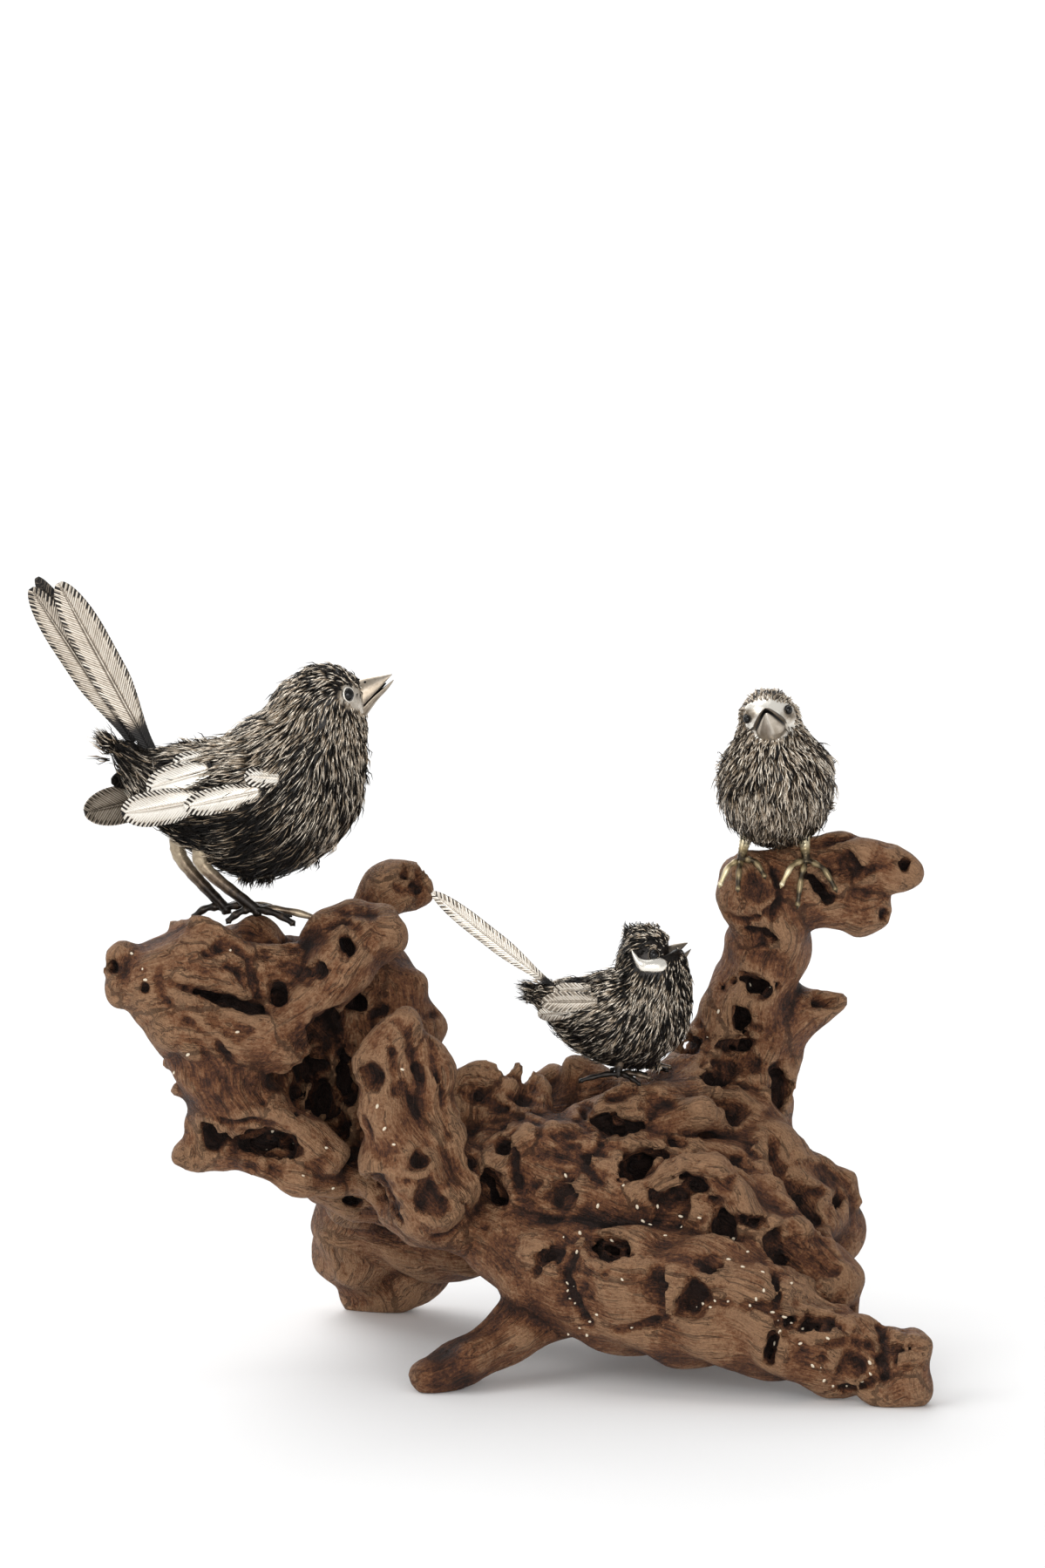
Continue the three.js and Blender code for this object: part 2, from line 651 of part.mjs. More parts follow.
// Lays a plate from its root to its tip with its face turned to one side
function layPlate(root, tip, width, faceWay) {
  const along = new THREE.Vector3().subVectors(tip, root);
  const length = along.length();
  along.normalize();
  const face = faceWay.clone().addScaledVector(along, -faceWay.dot(along)).normalize();
  const across = new THREE.Vector3().crossVectors(face, along);
  const geometry = plateGeometry(length, width);
  geometry.translate(0, 0, -plateThickness / 2);
  geometry.applyMatrix4(new THREE.Matrix4().makeBasis(along, across, face).setPosition(root));
  return geometry;
}

// How far out the body reaches at one place of its side view
function sideReach(bodyMesh, x, z, side) {
  const ray = new THREE.Raycaster(new THREE.Vector3(x, side * 60, z), new THREE.Vector3(0, -side, 0));
  const hits = ray.intersectObject(bodyMesh);
  return hits.length > 0 ? Math.abs(hits[0].point.y) : 0;
}

function turnedAbout(point, centre, angle) {
  const y = point.y - centre.y;
  const z = point.z - centre.z;
  return new THREE.Vector3(
    point.x,
    centre.y + y * Math.cos(angle) - z * Math.sin(angle),
    centre.z + y * Math.sin(angle) + z * Math.cos(angle),
  );
}

// One bird: body, beak, eyes, legs, tail plates and wing plates
function makeBird(bird) {
  const group = new THREE.Group();
  group.position.set(...bird.perch);
  group.rotation.z = bird.heading * Math.PI / 180;
  group.updateMatrix();
  const toBird = group.matrix.clone().invert();
  const woodHere = solidOf(moved(driftwood, 0, -0.7 * clearance, clearance).applyMatrix4(toBird));

  const name = bird.name;
  const bodyGeometry = bodySkin(bird.body, 0);
  const bodyMesh = piece(`${name}_body`, bodyGeometry, paint(bird.plume, 0.5, 0.85));
  bodyMesh.material.side = THREE.DoubleSide;
  bodyMesh.updateMatrixWorld();
  const swollenBody = solidOf(bodySkin(bird.body, clearance));
  const body = solidOf(bodyGeometry).subtract(woodHere);
  group.add(piece(`${name}_body`, geometryOf(body), bodyMesh.material));

  const roll = (bird.headRoll || 0) * Math.PI / 180;
  const [headX, headY, headZ] = bird.head;
  const headCentre = new THREE.Vector3(headX, headY, headZ);
  const rolled = (geometry) => {
    const centre = headCentre;
    return geometry.translate(-centre.x, -centre.y, -centre.z).rotateX(roll)
      .translate(centre.x, centre.y, centre.z);
  };
  for (const [part, stations] of Object.entries(bird.beak)) {
    const points = stations.map(([x, z, radius]) => [x, headY, z, radius]);
    const solid = solidOf(rolled(rod(points, 2 * rodSides - 2, bird.beakWidth))).subtract(swollenBody);
    group.add(piece(`${name}_beak_${part}`, geometryOf(solid), paint(bird.beakColour, 0.25, 0.9)));
  }

  for (const [part, side] of [['right', -1], ['left', 1]]) {
    const [x, z, radius, sink] = bird.eye;
    const reach = bird.eyeReach || sideReach(bodyMesh, x, z, side);
    const spot = turnedAbout(new THREE.Vector3(x, headY + side * (reach - sink), z), headCentre, roll);
    const ball = new THREE.SphereGeometry(radius, 7, 4).translate(spot.x, spot.y, spot.z);
    const solid = solidOf(ball).subtract(swollenBody);
    group.add(piece(`${name}_eye_${part}`, geometryOf(solid), paint(colours.eye, 0.12, 0.1)));
  }

  for (const [part, leg] of Object.entries(bird.legs)) {
    const [ax, ay, az] = leg.ankle;
    const [hx, hy, hz] = leg.hip;
    const thick = bird.legThickness;
    const shank = [
      [hx, hy, hz, thick * 1.5],
      [hx * 0.6 + ax * 0.4, hy * 0.6 + ay * 0.4, hz * 0.6 + az * 0.4, thick],
      [ax, ay, az, thick * 0.9],
      [ax + 0.4, ay, az - 0.8, thick * 0.9],
    ];
    let solid = solidOf(rod(shank, rodSides));
    for (const [tx, ty, tz] of leg.toes) {
      const bow = leg.bow;
      const toe = [
        [ax, ay, az - 0.3, thick * 0.8],
        [ax * 0.4 + tx * 0.6, ay * 0.4 + ty * 0.6, az * 0.4 + tz * 0.6 + bow, thick * 0.7],
        [tx, ty, tz, thick * 0.35],
      ];
      solid = solid.add(solidOf(rod(toe, rodSides)));
    }
    solid = solid.subtract(swollenBody).subtract(woodHere);
    group.add(piece(`${name}_leg_${part}`, geometryOf(solid), paint(bird.legColour, 0.45, 0.7)));
  }

  bird.tail.forEach(([rootX, rootY, rootZ, tipX, tipY, tipZ, width, lean], i) => {
    const root = new THREE.Vector3(rootX, rootY, rootZ);
    const tip = new THREE.Vector3(tipX, tipY, tipZ);
    const faceWay = new THREE.Vector3(0, -Math.cos(lean * Math.PI / 180), Math.sin(lean * Math.PI / 180));
    const plate = solidOf(layPlate(root, tip, width, faceWay)).subtract(swollenBody);
    group.add(piece(`${name}_tail_feather_${i + 1}`, geometryOf(plate),
      paint(bird.featherColour, 0.35, 0.9)));
  });

  // Wing plates are shingled: each is lifted until it clears the body and the plates under it
  for (const [part, side] of [['right', -1], ['left', 1]]) {
    const laid = [];
    const order = bird.wing.map((feather, i) => i).sort((a, b) => bird.wing[a][5] - bird.wing[b][5]);
    for (const i of order) {
      const wide = side > 0 && bird.farWing && bird.farWing[i] ? bird.farWing[i] : bird.wing[i];
      const [rootX, rootZ, tipX, tipZ, width] = wide;
      const rootReach = sideReach(bodyMesh, rootX, rootZ, side) + 0.4;
      let tipReach = sideReach(bodyMesh, tipX, tipZ, side);
      tipReach = (tipReach > 0 ? tipReach : rootReach * 0.72) + 0.4;
      const tilt = Math.atan2(rootReach - tipReach, Math.hypot(tipX - rootX, tipZ - rootZ));
      let lift = 0;
      for (let t = 0; t <= 1; t += 0.1) {
        const half = vaneHalfWidth(t, width) * 0.8;
        for (const edge of [-half, 0, half]) {
          const x = rootX + (tipX - rootX) * t;
          const z = rootZ + (tipZ - rootZ) * t + edge;
          const reach = sideReach(bodyMesh, x, z, side) + plateThickness * 0.5 + clearance;
          lift = Math.max(lift, reach - (rootReach + (tipReach - rootReach) * t));
        }
      }
      const faceWay = new THREE.Vector3(0, side * Math.cos(tilt), bird.wingLean);
      const plateAt = (rise) => {
        const root = new THREE.Vector3(rootX, side * (rootReach + rise), rootZ);
        const tip = new THREE.Vector3(tipX, side * (tipReach + rise), tipZ);
        return solidOf(layPlate(root, tip, width, faceWay)).subtract(swollenBody);
      };
      while (laid.some((under) => under.intersect(plateAt(lift)).volume() > 0)) {
        lift += clearance;
      }
      const plate = plateAt(lift + clearance);
      laid.push(plate);
      group.add(piece(`${name}_wing_feather_${part}_${i + 1}`, geometryOf(plate),
        paint(bird.featherColour, 0.35, 0.9)));
    }
  }
  return group;
}

// The grown bird on the left, seen from its right side
const grownBird = {
  name: 'grown_bird',
  perch: [-67, -5, 128.4],
  heading: 0,
  plume: colours.plume,
  body: [
    [-41, 52, 2.6, 2.4], [-35, 46.5, 6.5, 5], [-26, 40.5, 12, 10], [-13, 36, 17, 15.5],
    [0, 33.5, 23, 19], [10, 35.8, 22.6, 19.4], [14, 44.5, 21.6, 17.5], [18.4, 53.5, 16.9, 14.6],
    [20, 61.5, 14, 12], [21.5, 68, 11, 10], [22.5, 72, 5.6, 6],
  ],
  head: [22, 0, 64],
  eye: [29.4, 66.4, 2.1, 0.5],
  beakColour: colours.beak,
  beakWidth: 1.15,
  beak: {
    upper: [[28, 65.2, 2.9], [32, 67, 2.6], [36.8, 69.7, 1.7], [41, 71.6, 0.4]],
    lower: [[29, 59.2, 1.9], [33.9, 62.3, 1.8], [37.8, 65.9, 1.2], [41.3, 69.1, 0.4]],
  },
  legThickness: 1.5,
  legColour: colours.leg,
  legs: {
    right: {
      hip: [-15, -6, 25],
      ankle: [1, -6, 4.2],
      bow: 0.8,
      toes: [[20, -6.5, 1], [13, -11, 0.5], [12, -2.5, 1.5], [-6, -7.5, 0.5]],
    },
    left: {
      hip: [-20, 6, 24],
      ankle: [-7, 5, 2.6],
      bow: 1.2,
      toes: [[10, 6, 1], [4, 10, 0.5], [6, 1.5, 1.5], [-16, 5, -0.5]],
    },
  },
  featherColour: colours.feather,
  tail: [
    [-28, -1.2, 49, -54.2, -1.2, 97.8, 10.8, 0],
    [-33, 1.4, 51, -62.2, 1.4, 95.8, 9.4, 0],
    [-30, 3.2, 50, -60.6, 3.2, 98.6, 7, 0],
  ],
  wingLean: 0.12,
  wing: [
    [-9, 44, -29, 40, 9, 1.4],
    [-10, 35.2, -36.5, 32, 9.6, 0.2],
    [6, 38.2, -18.5, 35.2, 8, 2.4],
    [10, 43.2, -1.2, 44.5, 6, 0.6],
    [-12, 49.2, -21.4, 47.6, 4.4, 0.2],
  ],
  farWing: {
    1: [-20, 34, -47, 30, 11, 0.2],
  },
};

// The young bird in the middle, with a flat crest and one long tail plate
const crestedChick = {
  name: 'crested_chick',
  perch: [42, -12, 84.1],
  heading: 0,
  plume: colours.plume,
  body: [
    [-30.5, 24, 2.6, 2.6], [-25, 23, 5, 5], [-19, 21, 8, 7.5], [-12, 18, 12.3, 11],
    [-4, 16.8, 15, 13.4], [3.5, 17.6, 15.4, 13.8], [6.8, 24.5, 12.8, 12], [7.4, 31, 10.2, 10],
    [6.2, 37, 7.4, 8.4], [5.6, 41.8, 6, 6.4],
  ],
  head: [7, 0, 35],
  eye: [6.8, 36, 1.4, 0.3],
  beakColour: colours.darkbeak,
  beakWidth: 1.1,
  beak: {
    upper: [[9, 35.6, 1.8], [11.8, 36.8, 1.7], [14.4, 38.1, 1.1], [16.8, 38.7, 0.3]],
    lower: [[9, 31.6, 1.2], [12.2, 33.4, 1.2], [15.2, 35, 0.9], [17.8, 36.5, 0.3]],
  },
  legThickness: 1.1,
  legColour: colours.leg,
  legs: {
    right: {
      hip: [-2, -5, 8],
      ankle: [-3, -6, 1.6],
      bow: 0.3,
      toes: [[6, -7, 0.4], [3, -11, -0.6], [5, -3, 0.6], [-14, -6.5, -0.6]],
    },
    left: {
      hip: [3, 5, 8],
      ankle: [3, 5, 1.6],
      bow: 0.3,
      toes: [[12, 5, 1.2], [9, 9, 0.8], [11, 1.5, 1], [-5, 5.5, 0.4]],
    },
  },
  featherColour: colours.feather,
  tail: [
    [-22, -1, 26, -56.4, -1, 53.4, 5.6, 0],
  ],
  wingLean: 0.12,
  wing: [
    [-11, 27.5, -22, 25.6, 4.6, 0.2],
    [-8, 24.4, -25.6, 22.6, 6, 1.3],
    [-10, 20.6, -27, 17.4, 5, 0.2],
  ],
};

// The round young bird on the right, which faces the viewer with its head tipped
const roundChick = {
  name: 'round_chick',
  perch: [84, -2, 145],
  heading: -90,
  plume: colours.paleplume,
  body: [
    [-31, 12, 2.6, 3], [-25, 13.5, 6, 6.5], [-17, 16, 12, 12], [-8, 18.8, 17, 16.2, 0.4],
    [0, 21.8, 19.8, 17.4, 0.6], [4.2, 28.6, 17.6, 16.6, 0.5], [5.6, 36, 13.4, 13.2, -0.6],
    [6.2, 41.6, 10, 10.2, -1.4], [6, 46.2, 7, 7.8, -1.8], [5.6, 48.8, 3.8, 4.6, -1.8],
  ],
  head: [6, -1.8, 42],
  headRoll: 12.5,
  eye: [13.4, 43.6, 1.6, 0],
  eyeReach: 5.9,
  beakColour: colours.beak,
  beakWidth: 1.9,
  beak: {
    upper: [[12, 41.4, 2.6], [15.6, 43.4, 2.4], [19, 45.6, 1.6], [22, 46.8, 0.5]],
    lower: [[12, 34.6, 2.1], [15.4, 37.4, 1.9], [18.8, 41, 1.2], [21.4, 43.9, 0.4]],
  },
  legThickness: 1.1,
  legColour: colours.brassleg,
  legs: {
    right: {
      hip: [0, -7.6, 9],
      ankle: [4.6, -9.8, 1],
      bow: 2.2,
      toes: [[8.4, -16, -6], [10, -10.8, -7], [8.6, -3, -3.4], [-5, -9, 1.4]],
    },
    left: {
      hip: [0, 8, 9],
      ankle: [4, 8.8, 1],
      bow: 2.2,
      toes: [[8.4, 1.6, -6], [8.6, 6.3, -12], [8, 17.4, -7.4], [-5, 8.6, 1.4]],
    },
  },
  featherColour: colours.feather,
  tail: [
    [-26, 2, 15, -44, 7, 6, 7, 80],
    [-26, 4.4, 13, -42, 10.4, 4.6, 6.4, 80],
  ],
  wingLean: 0.12,
  wing: [
    [-3, 28, -16, 23.6, 4.6, 0.4],
    [-4, 22.6, -21, 17, 5, 0.8],
    [-8, 16.6, -22, 12.2, 4.2, 0.4],
  ],
};

const group = new THREE.Group();
group.add(piece('driftwood', driftwood, paint(colours.wood, 0.8, 0)));
for (const bird of [grownBird, crestedChick, roundChick]) {
  group.add(makeBird(bird));
}
group.position.set(centreShift[0], centreShift[1], 0);

export default group;
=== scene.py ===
# Three small silver birds on a piece of driftwood: finish, plumage, feather plates, floor, light and camera.
import math
import bpy
import numpy as np
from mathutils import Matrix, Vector
from mathutils.bvhtree import BVHTree


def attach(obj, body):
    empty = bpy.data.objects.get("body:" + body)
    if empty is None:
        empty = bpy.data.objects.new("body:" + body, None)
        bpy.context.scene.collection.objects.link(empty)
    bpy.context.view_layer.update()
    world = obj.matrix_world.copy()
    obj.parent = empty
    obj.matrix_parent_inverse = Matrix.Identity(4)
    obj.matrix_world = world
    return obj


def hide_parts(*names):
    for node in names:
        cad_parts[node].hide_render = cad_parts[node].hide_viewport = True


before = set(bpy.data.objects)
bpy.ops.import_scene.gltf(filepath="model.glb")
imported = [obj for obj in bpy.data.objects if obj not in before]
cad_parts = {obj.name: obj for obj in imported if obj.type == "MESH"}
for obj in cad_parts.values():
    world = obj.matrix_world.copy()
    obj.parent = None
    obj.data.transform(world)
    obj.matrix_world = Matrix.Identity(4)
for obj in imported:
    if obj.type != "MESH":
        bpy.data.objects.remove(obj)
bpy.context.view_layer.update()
mm = 0.001

cameraSetup = {
    "elevation": 10.0,  # degrees above the horizon, looking along +Y
    "distance": 6.0,
    "aim": (0.01195, 0.0018, 0.16666),  # what the middle of the picture looks at
    "pictureHeight": 0.44975,  # metres of the object's plane from top to bottom
    "sensor": 36.0,
    "clip": (0.1, 60.0),
}


def placeObject(name, data):
    placed = bpy.data.objects.new(name, data)
    bpy.context.scene.collection.objects.link(placed)
    return placed


def makeCamera(setup):
    data = bpy.data.cameras.new("camera")
    data.sensor_width = setup["sensor"]
    data.lens = setup["sensor"] * setup["distance"] / setup["pictureHeight"]
    data.clip_start, data.clip_end = setup["clip"]
    tilt = math.radians(setup["elevation"])
    back = Vector((0, -math.cos(tilt), math.sin(tilt)))
    camera = placeObject("camera", data)
    camera.location = Vector(setup["aim"]) + back * setup["distance"]
    camera.rotation_euler = (-back).to_track_quat("-Z", "Y").to_euler()
    bpy.context.scene.camera = camera


makeCamera(cameraSetup)
print("stage: camera")

# Material building blocks


def feed(tree, node, values):
    # Each value is a constant or the output of another node
    for key, value in values.items():
        if isinstance(value, bpy.types.NodeSocket):
            tree.links.new(value, node.inputs[key])
        elif value is not None:
            node.inputs[key].default_value = value


def addNode(tree, kind, values=None, **settings):
    node = tree.nodes.new(kind)
    for key, value in settings.items():
        setattr(node, key, value)
    feed(tree, node, values or {})
    return node


def newMaterial(name):
    material = bpy.data.materials.new(name)
    material.use_nodes = True
    tree = material.node_tree
    return material, tree, tree.nodes["Principled BSDF"]


def colourOf(code):
    # "#rrggbb" as the linear colour that shaders take
    parts = [int(code[i:i + 2], 16) / 255 for i in (1, 3, 5)]
    return tuple(p / 12.92 if p <= 0.04045 else ((p + 0.055) / 1.055) ** 2.4 for p in parts) + (1.0,)


def newGroup(name, inputs, outputs):
    group = bpy.data.node_groups.new(name, "ShaderNodeTree")
    for label, kind, value in inputs:
        socket = group.interface.new_socket(label, in_out="INPUT", socket_type=kind)
        if value is not None:
            socket.default_value = value
    for label, kind in outputs:
        group.interface.new_socket(label, in_out="OUTPUT", socket_type=kind)
    return group, group.nodes.new("NodeGroupInput"), group.nodes.new("NodeGroupOutput")


def rampNode(tree, source, stops):
    ramp = addNode(tree, "ShaderNodeValToRGB", {"Fac": source})
    while len(ramp.color_ramp.elements) < len(stops):
        ramp.color_ramp.elements.new(0.5)
    for element, (place, colour) in zip(ramp.color_ramp.elements, stops):
        element.position = place
        element.color = colour
    return ramp.outputs["Color"]


def mathNode(tree, operation, a, b=None, c=None, clamp=False):
    node = addNode(tree, "ShaderNodeMath", {0: a, 1: b, 2: c}, operation=operation, use_clamp=clamp)
    return node.outputs[0]


def scaled(tree, value, factor, offset=None, clamp=False):
    # value * factor + offset
    operation = "MULTIPLY" if offset is None else "MULTIPLY_ADD"
    return mathNode(tree, operation, value, factor, offset, clamp)


def mixColour(tree, factor, a, b):
    return addNode(tree, "ShaderNodeMix", {0: factor, 6: a, 7: b}, data_type="RGBA").outputs[2]


def mixValue(tree, factor, a, b):
    return addNode(tree, "ShaderNodeMix", {0: factor, 2: a, 3: b}, data_type="FLOAT").outputs[0]


def attributeOf(tree, name, output="Fac"):
    return addNode(tree, "ShaderNodeAttribute", attribute_name=name).outputs[output]


def noiseNode(tree, scale, detail, roughness=0.5, distortion=0.0, place=None):
    values = {"Scale": scale, "Detail": detail, "Roughness": roughness, "Distortion": distortion}
    return addNode(tree, "ShaderNodeTexNoise", {**values, "Vector": place}).outputs


def bumpNode(tree, height, strength, distance):
    values = {"Height": height, "Strength": strength, "Distance": distance}
    return addNode(tree, "ShaderNodeBump", values).outputs["Normal"]


def meshObject(name, points, faces, materials, smooth=True, materialOf=None):
    # Points in mm, in the row frame; faces are rows of point numbers, all of one length
    faces = np.asarray(faces, np.int32)
    mesh = bpy.data.meshes.new(name)
    mesh.vertices.add(len(points))
    mesh.vertices.foreach_set("co", (np.asarray(points, float) * mm).astype(np.float32).ravel())
    mesh.loops.add(faces.size)
    mesh.loops.foreach_set("vertex_index", faces.ravel())
    mesh.polygons.add(len(faces))
    mesh.polygons.foreach_set("loop_start", np.arange(0, faces.size, faces.shape[1], dtype=np.int32))
    for material in materials:
        mesh.materials.append(material)
    if materialOf is not None:
        mesh.polygons.foreach_set("material_index", np.asarray(materialOf, np.int32))
    mesh.update(calc_edges=True)
    mesh.validate()
    if smooth:
        mesh.shade_smooth()
    return placeObject(name, mesh)


def pointsOf(piece):
    # Corners of a piece in mm
    values = np.empty(len(piece.data.vertices) * 3, np.float32)
    piece.data.vertices.foreach_get("co", values)
    return values.reshape(-1, 3).astype(float) / mm


def setAttribute(piece, name, values):
    values = np.asarray(values, np.float32)
    kind, field = ("FLOAT_VECTOR", "vector") if values.ndim == 2 else ("FLOAT", "value")
    attribute = piece.data.attributes.new(name, kind, "POINT")
    attribute.data.foreach_set(field, values.ravel())


cubeCorners = np.array([[c & 1, c >> 1 & 1, c >> 2 & 1] for c in range(8)])


def latticeNoise(points, cell, seed):
    # Smooth noise from -1 to 1 on rows of points, with lumps about one cell wide
    side, gain = 32, 1.6  # the lattice repeats after side cells, a power of two
    table = np.random.default_rng(seed).uniform(-1, 1, (side, side, side)).astype(np.float32)
    scaledPoints = np.asarray(points, np.float32) / cell
    low = np.floor(scaledPoints).astype(np.int64)
    part = scaledPoints - low
    part = part * part * (3 - 2 * part)
    total = np.zeros(len(scaledPoints), np.float32)
    for step in cubeCorners:
        weight = np.prod(np.where(step, part, 1 - part), axis=1)
        spot = (low + step) & (side - 1)
        total += weight * table[spot[:, 0], spot[:, 1], spot[:, 2]]
    return total * gain


def smoothStep(low, high, value):
    t = np.clip((value - low) / (high - low), 0, 1)
    return t * t * (3 - 2 * t)


# Driftwood

driftwoodShape = {
    "cell": 1.05,  # mm, facet size
    "blendReach": 4.0,  # how softly one limb runs into the next
    "barkLoss": 1.1,
    "pitBlend": 1.4,
    "rimHeight": 0.55,  # soft lip round a hollow
    "waver": 0.27,  # how far a hollow's outline strays from an oval
    "scoreBlend": 1.4,  # softness of grooves; ridges are twice as soft
    "ridgeSink": 0.75,  # depth of the middle of a ridge, in half widths
    "lineWaver": (0.5, 2.6),  # how far a groove's edge strays, in half widths, and over what length
    "longestStep": 16.0,  # a groove doesn't jump from one limb to one behind it
    "mostTriangles": 194000,
    "low": (-124.0, -98.0, -6.0),
    "high": (142.0, 90.0, 164.0),
    "middle": (0.45, 1.8, 0.0),  # brings the middle of the object over the origin
    "sightTilt": 10.0,  # hollows go in along this downward direction
    "lumps": ((11.0, 0.7), (5.0, 0.16), (2.2, 0.07)),  # cell and height of the wood's own unevenness
    "crinkles": ((6.0, 1.5), (3.2, 1.0), (1.9, 0.5)),  # the same, sharp-edged, inside the burls
    "crinkleLevel": 0.35,  # how high the folds of a burl lie against the wood around it
    # shares of the radius between which a burl, a patch of paler or darker wood, which is partly painted
    # light and shade, and the painted shade of a hollow grow
    "burlEdge": (1.25, 0.6), "toneEdge": (1.3, 0.4), "hollowEdge": (1.08, 0.55),
    "curves": {"fineCurve": 2.1, "broadCurve": 6.0},  # mm over which bulges and hollows are told apart
    "grainBlend": 2.0,  # mm over which the grain of one limb runs into the next
    # waves that bend x, y and z of the limbs: height, parts of x, y and z in the angle, phase
    "waves": (
        ((0.9, (0, 0.11, 0), 0.7), (1, (0.09, 0, 0.17), 1.1), (0.8, (0, -0.2, 0.37), 2.0)),
        ((0.9, (0, 0, 0.12), 2.3), (1, (0.16, 0.08, 0), 0.4), (0.8, (0.35, 0, 0.22), 0.5)),
        ((0.8, (0.13, 0, 0), 1.9), (0.9, (0, 0.18, 0.1), 2.7), (0.8, (-0.18, 0.39, 0), 1.2)),
    ),
    "waveReach": 7,  # mm round a limb that its waves can need
}

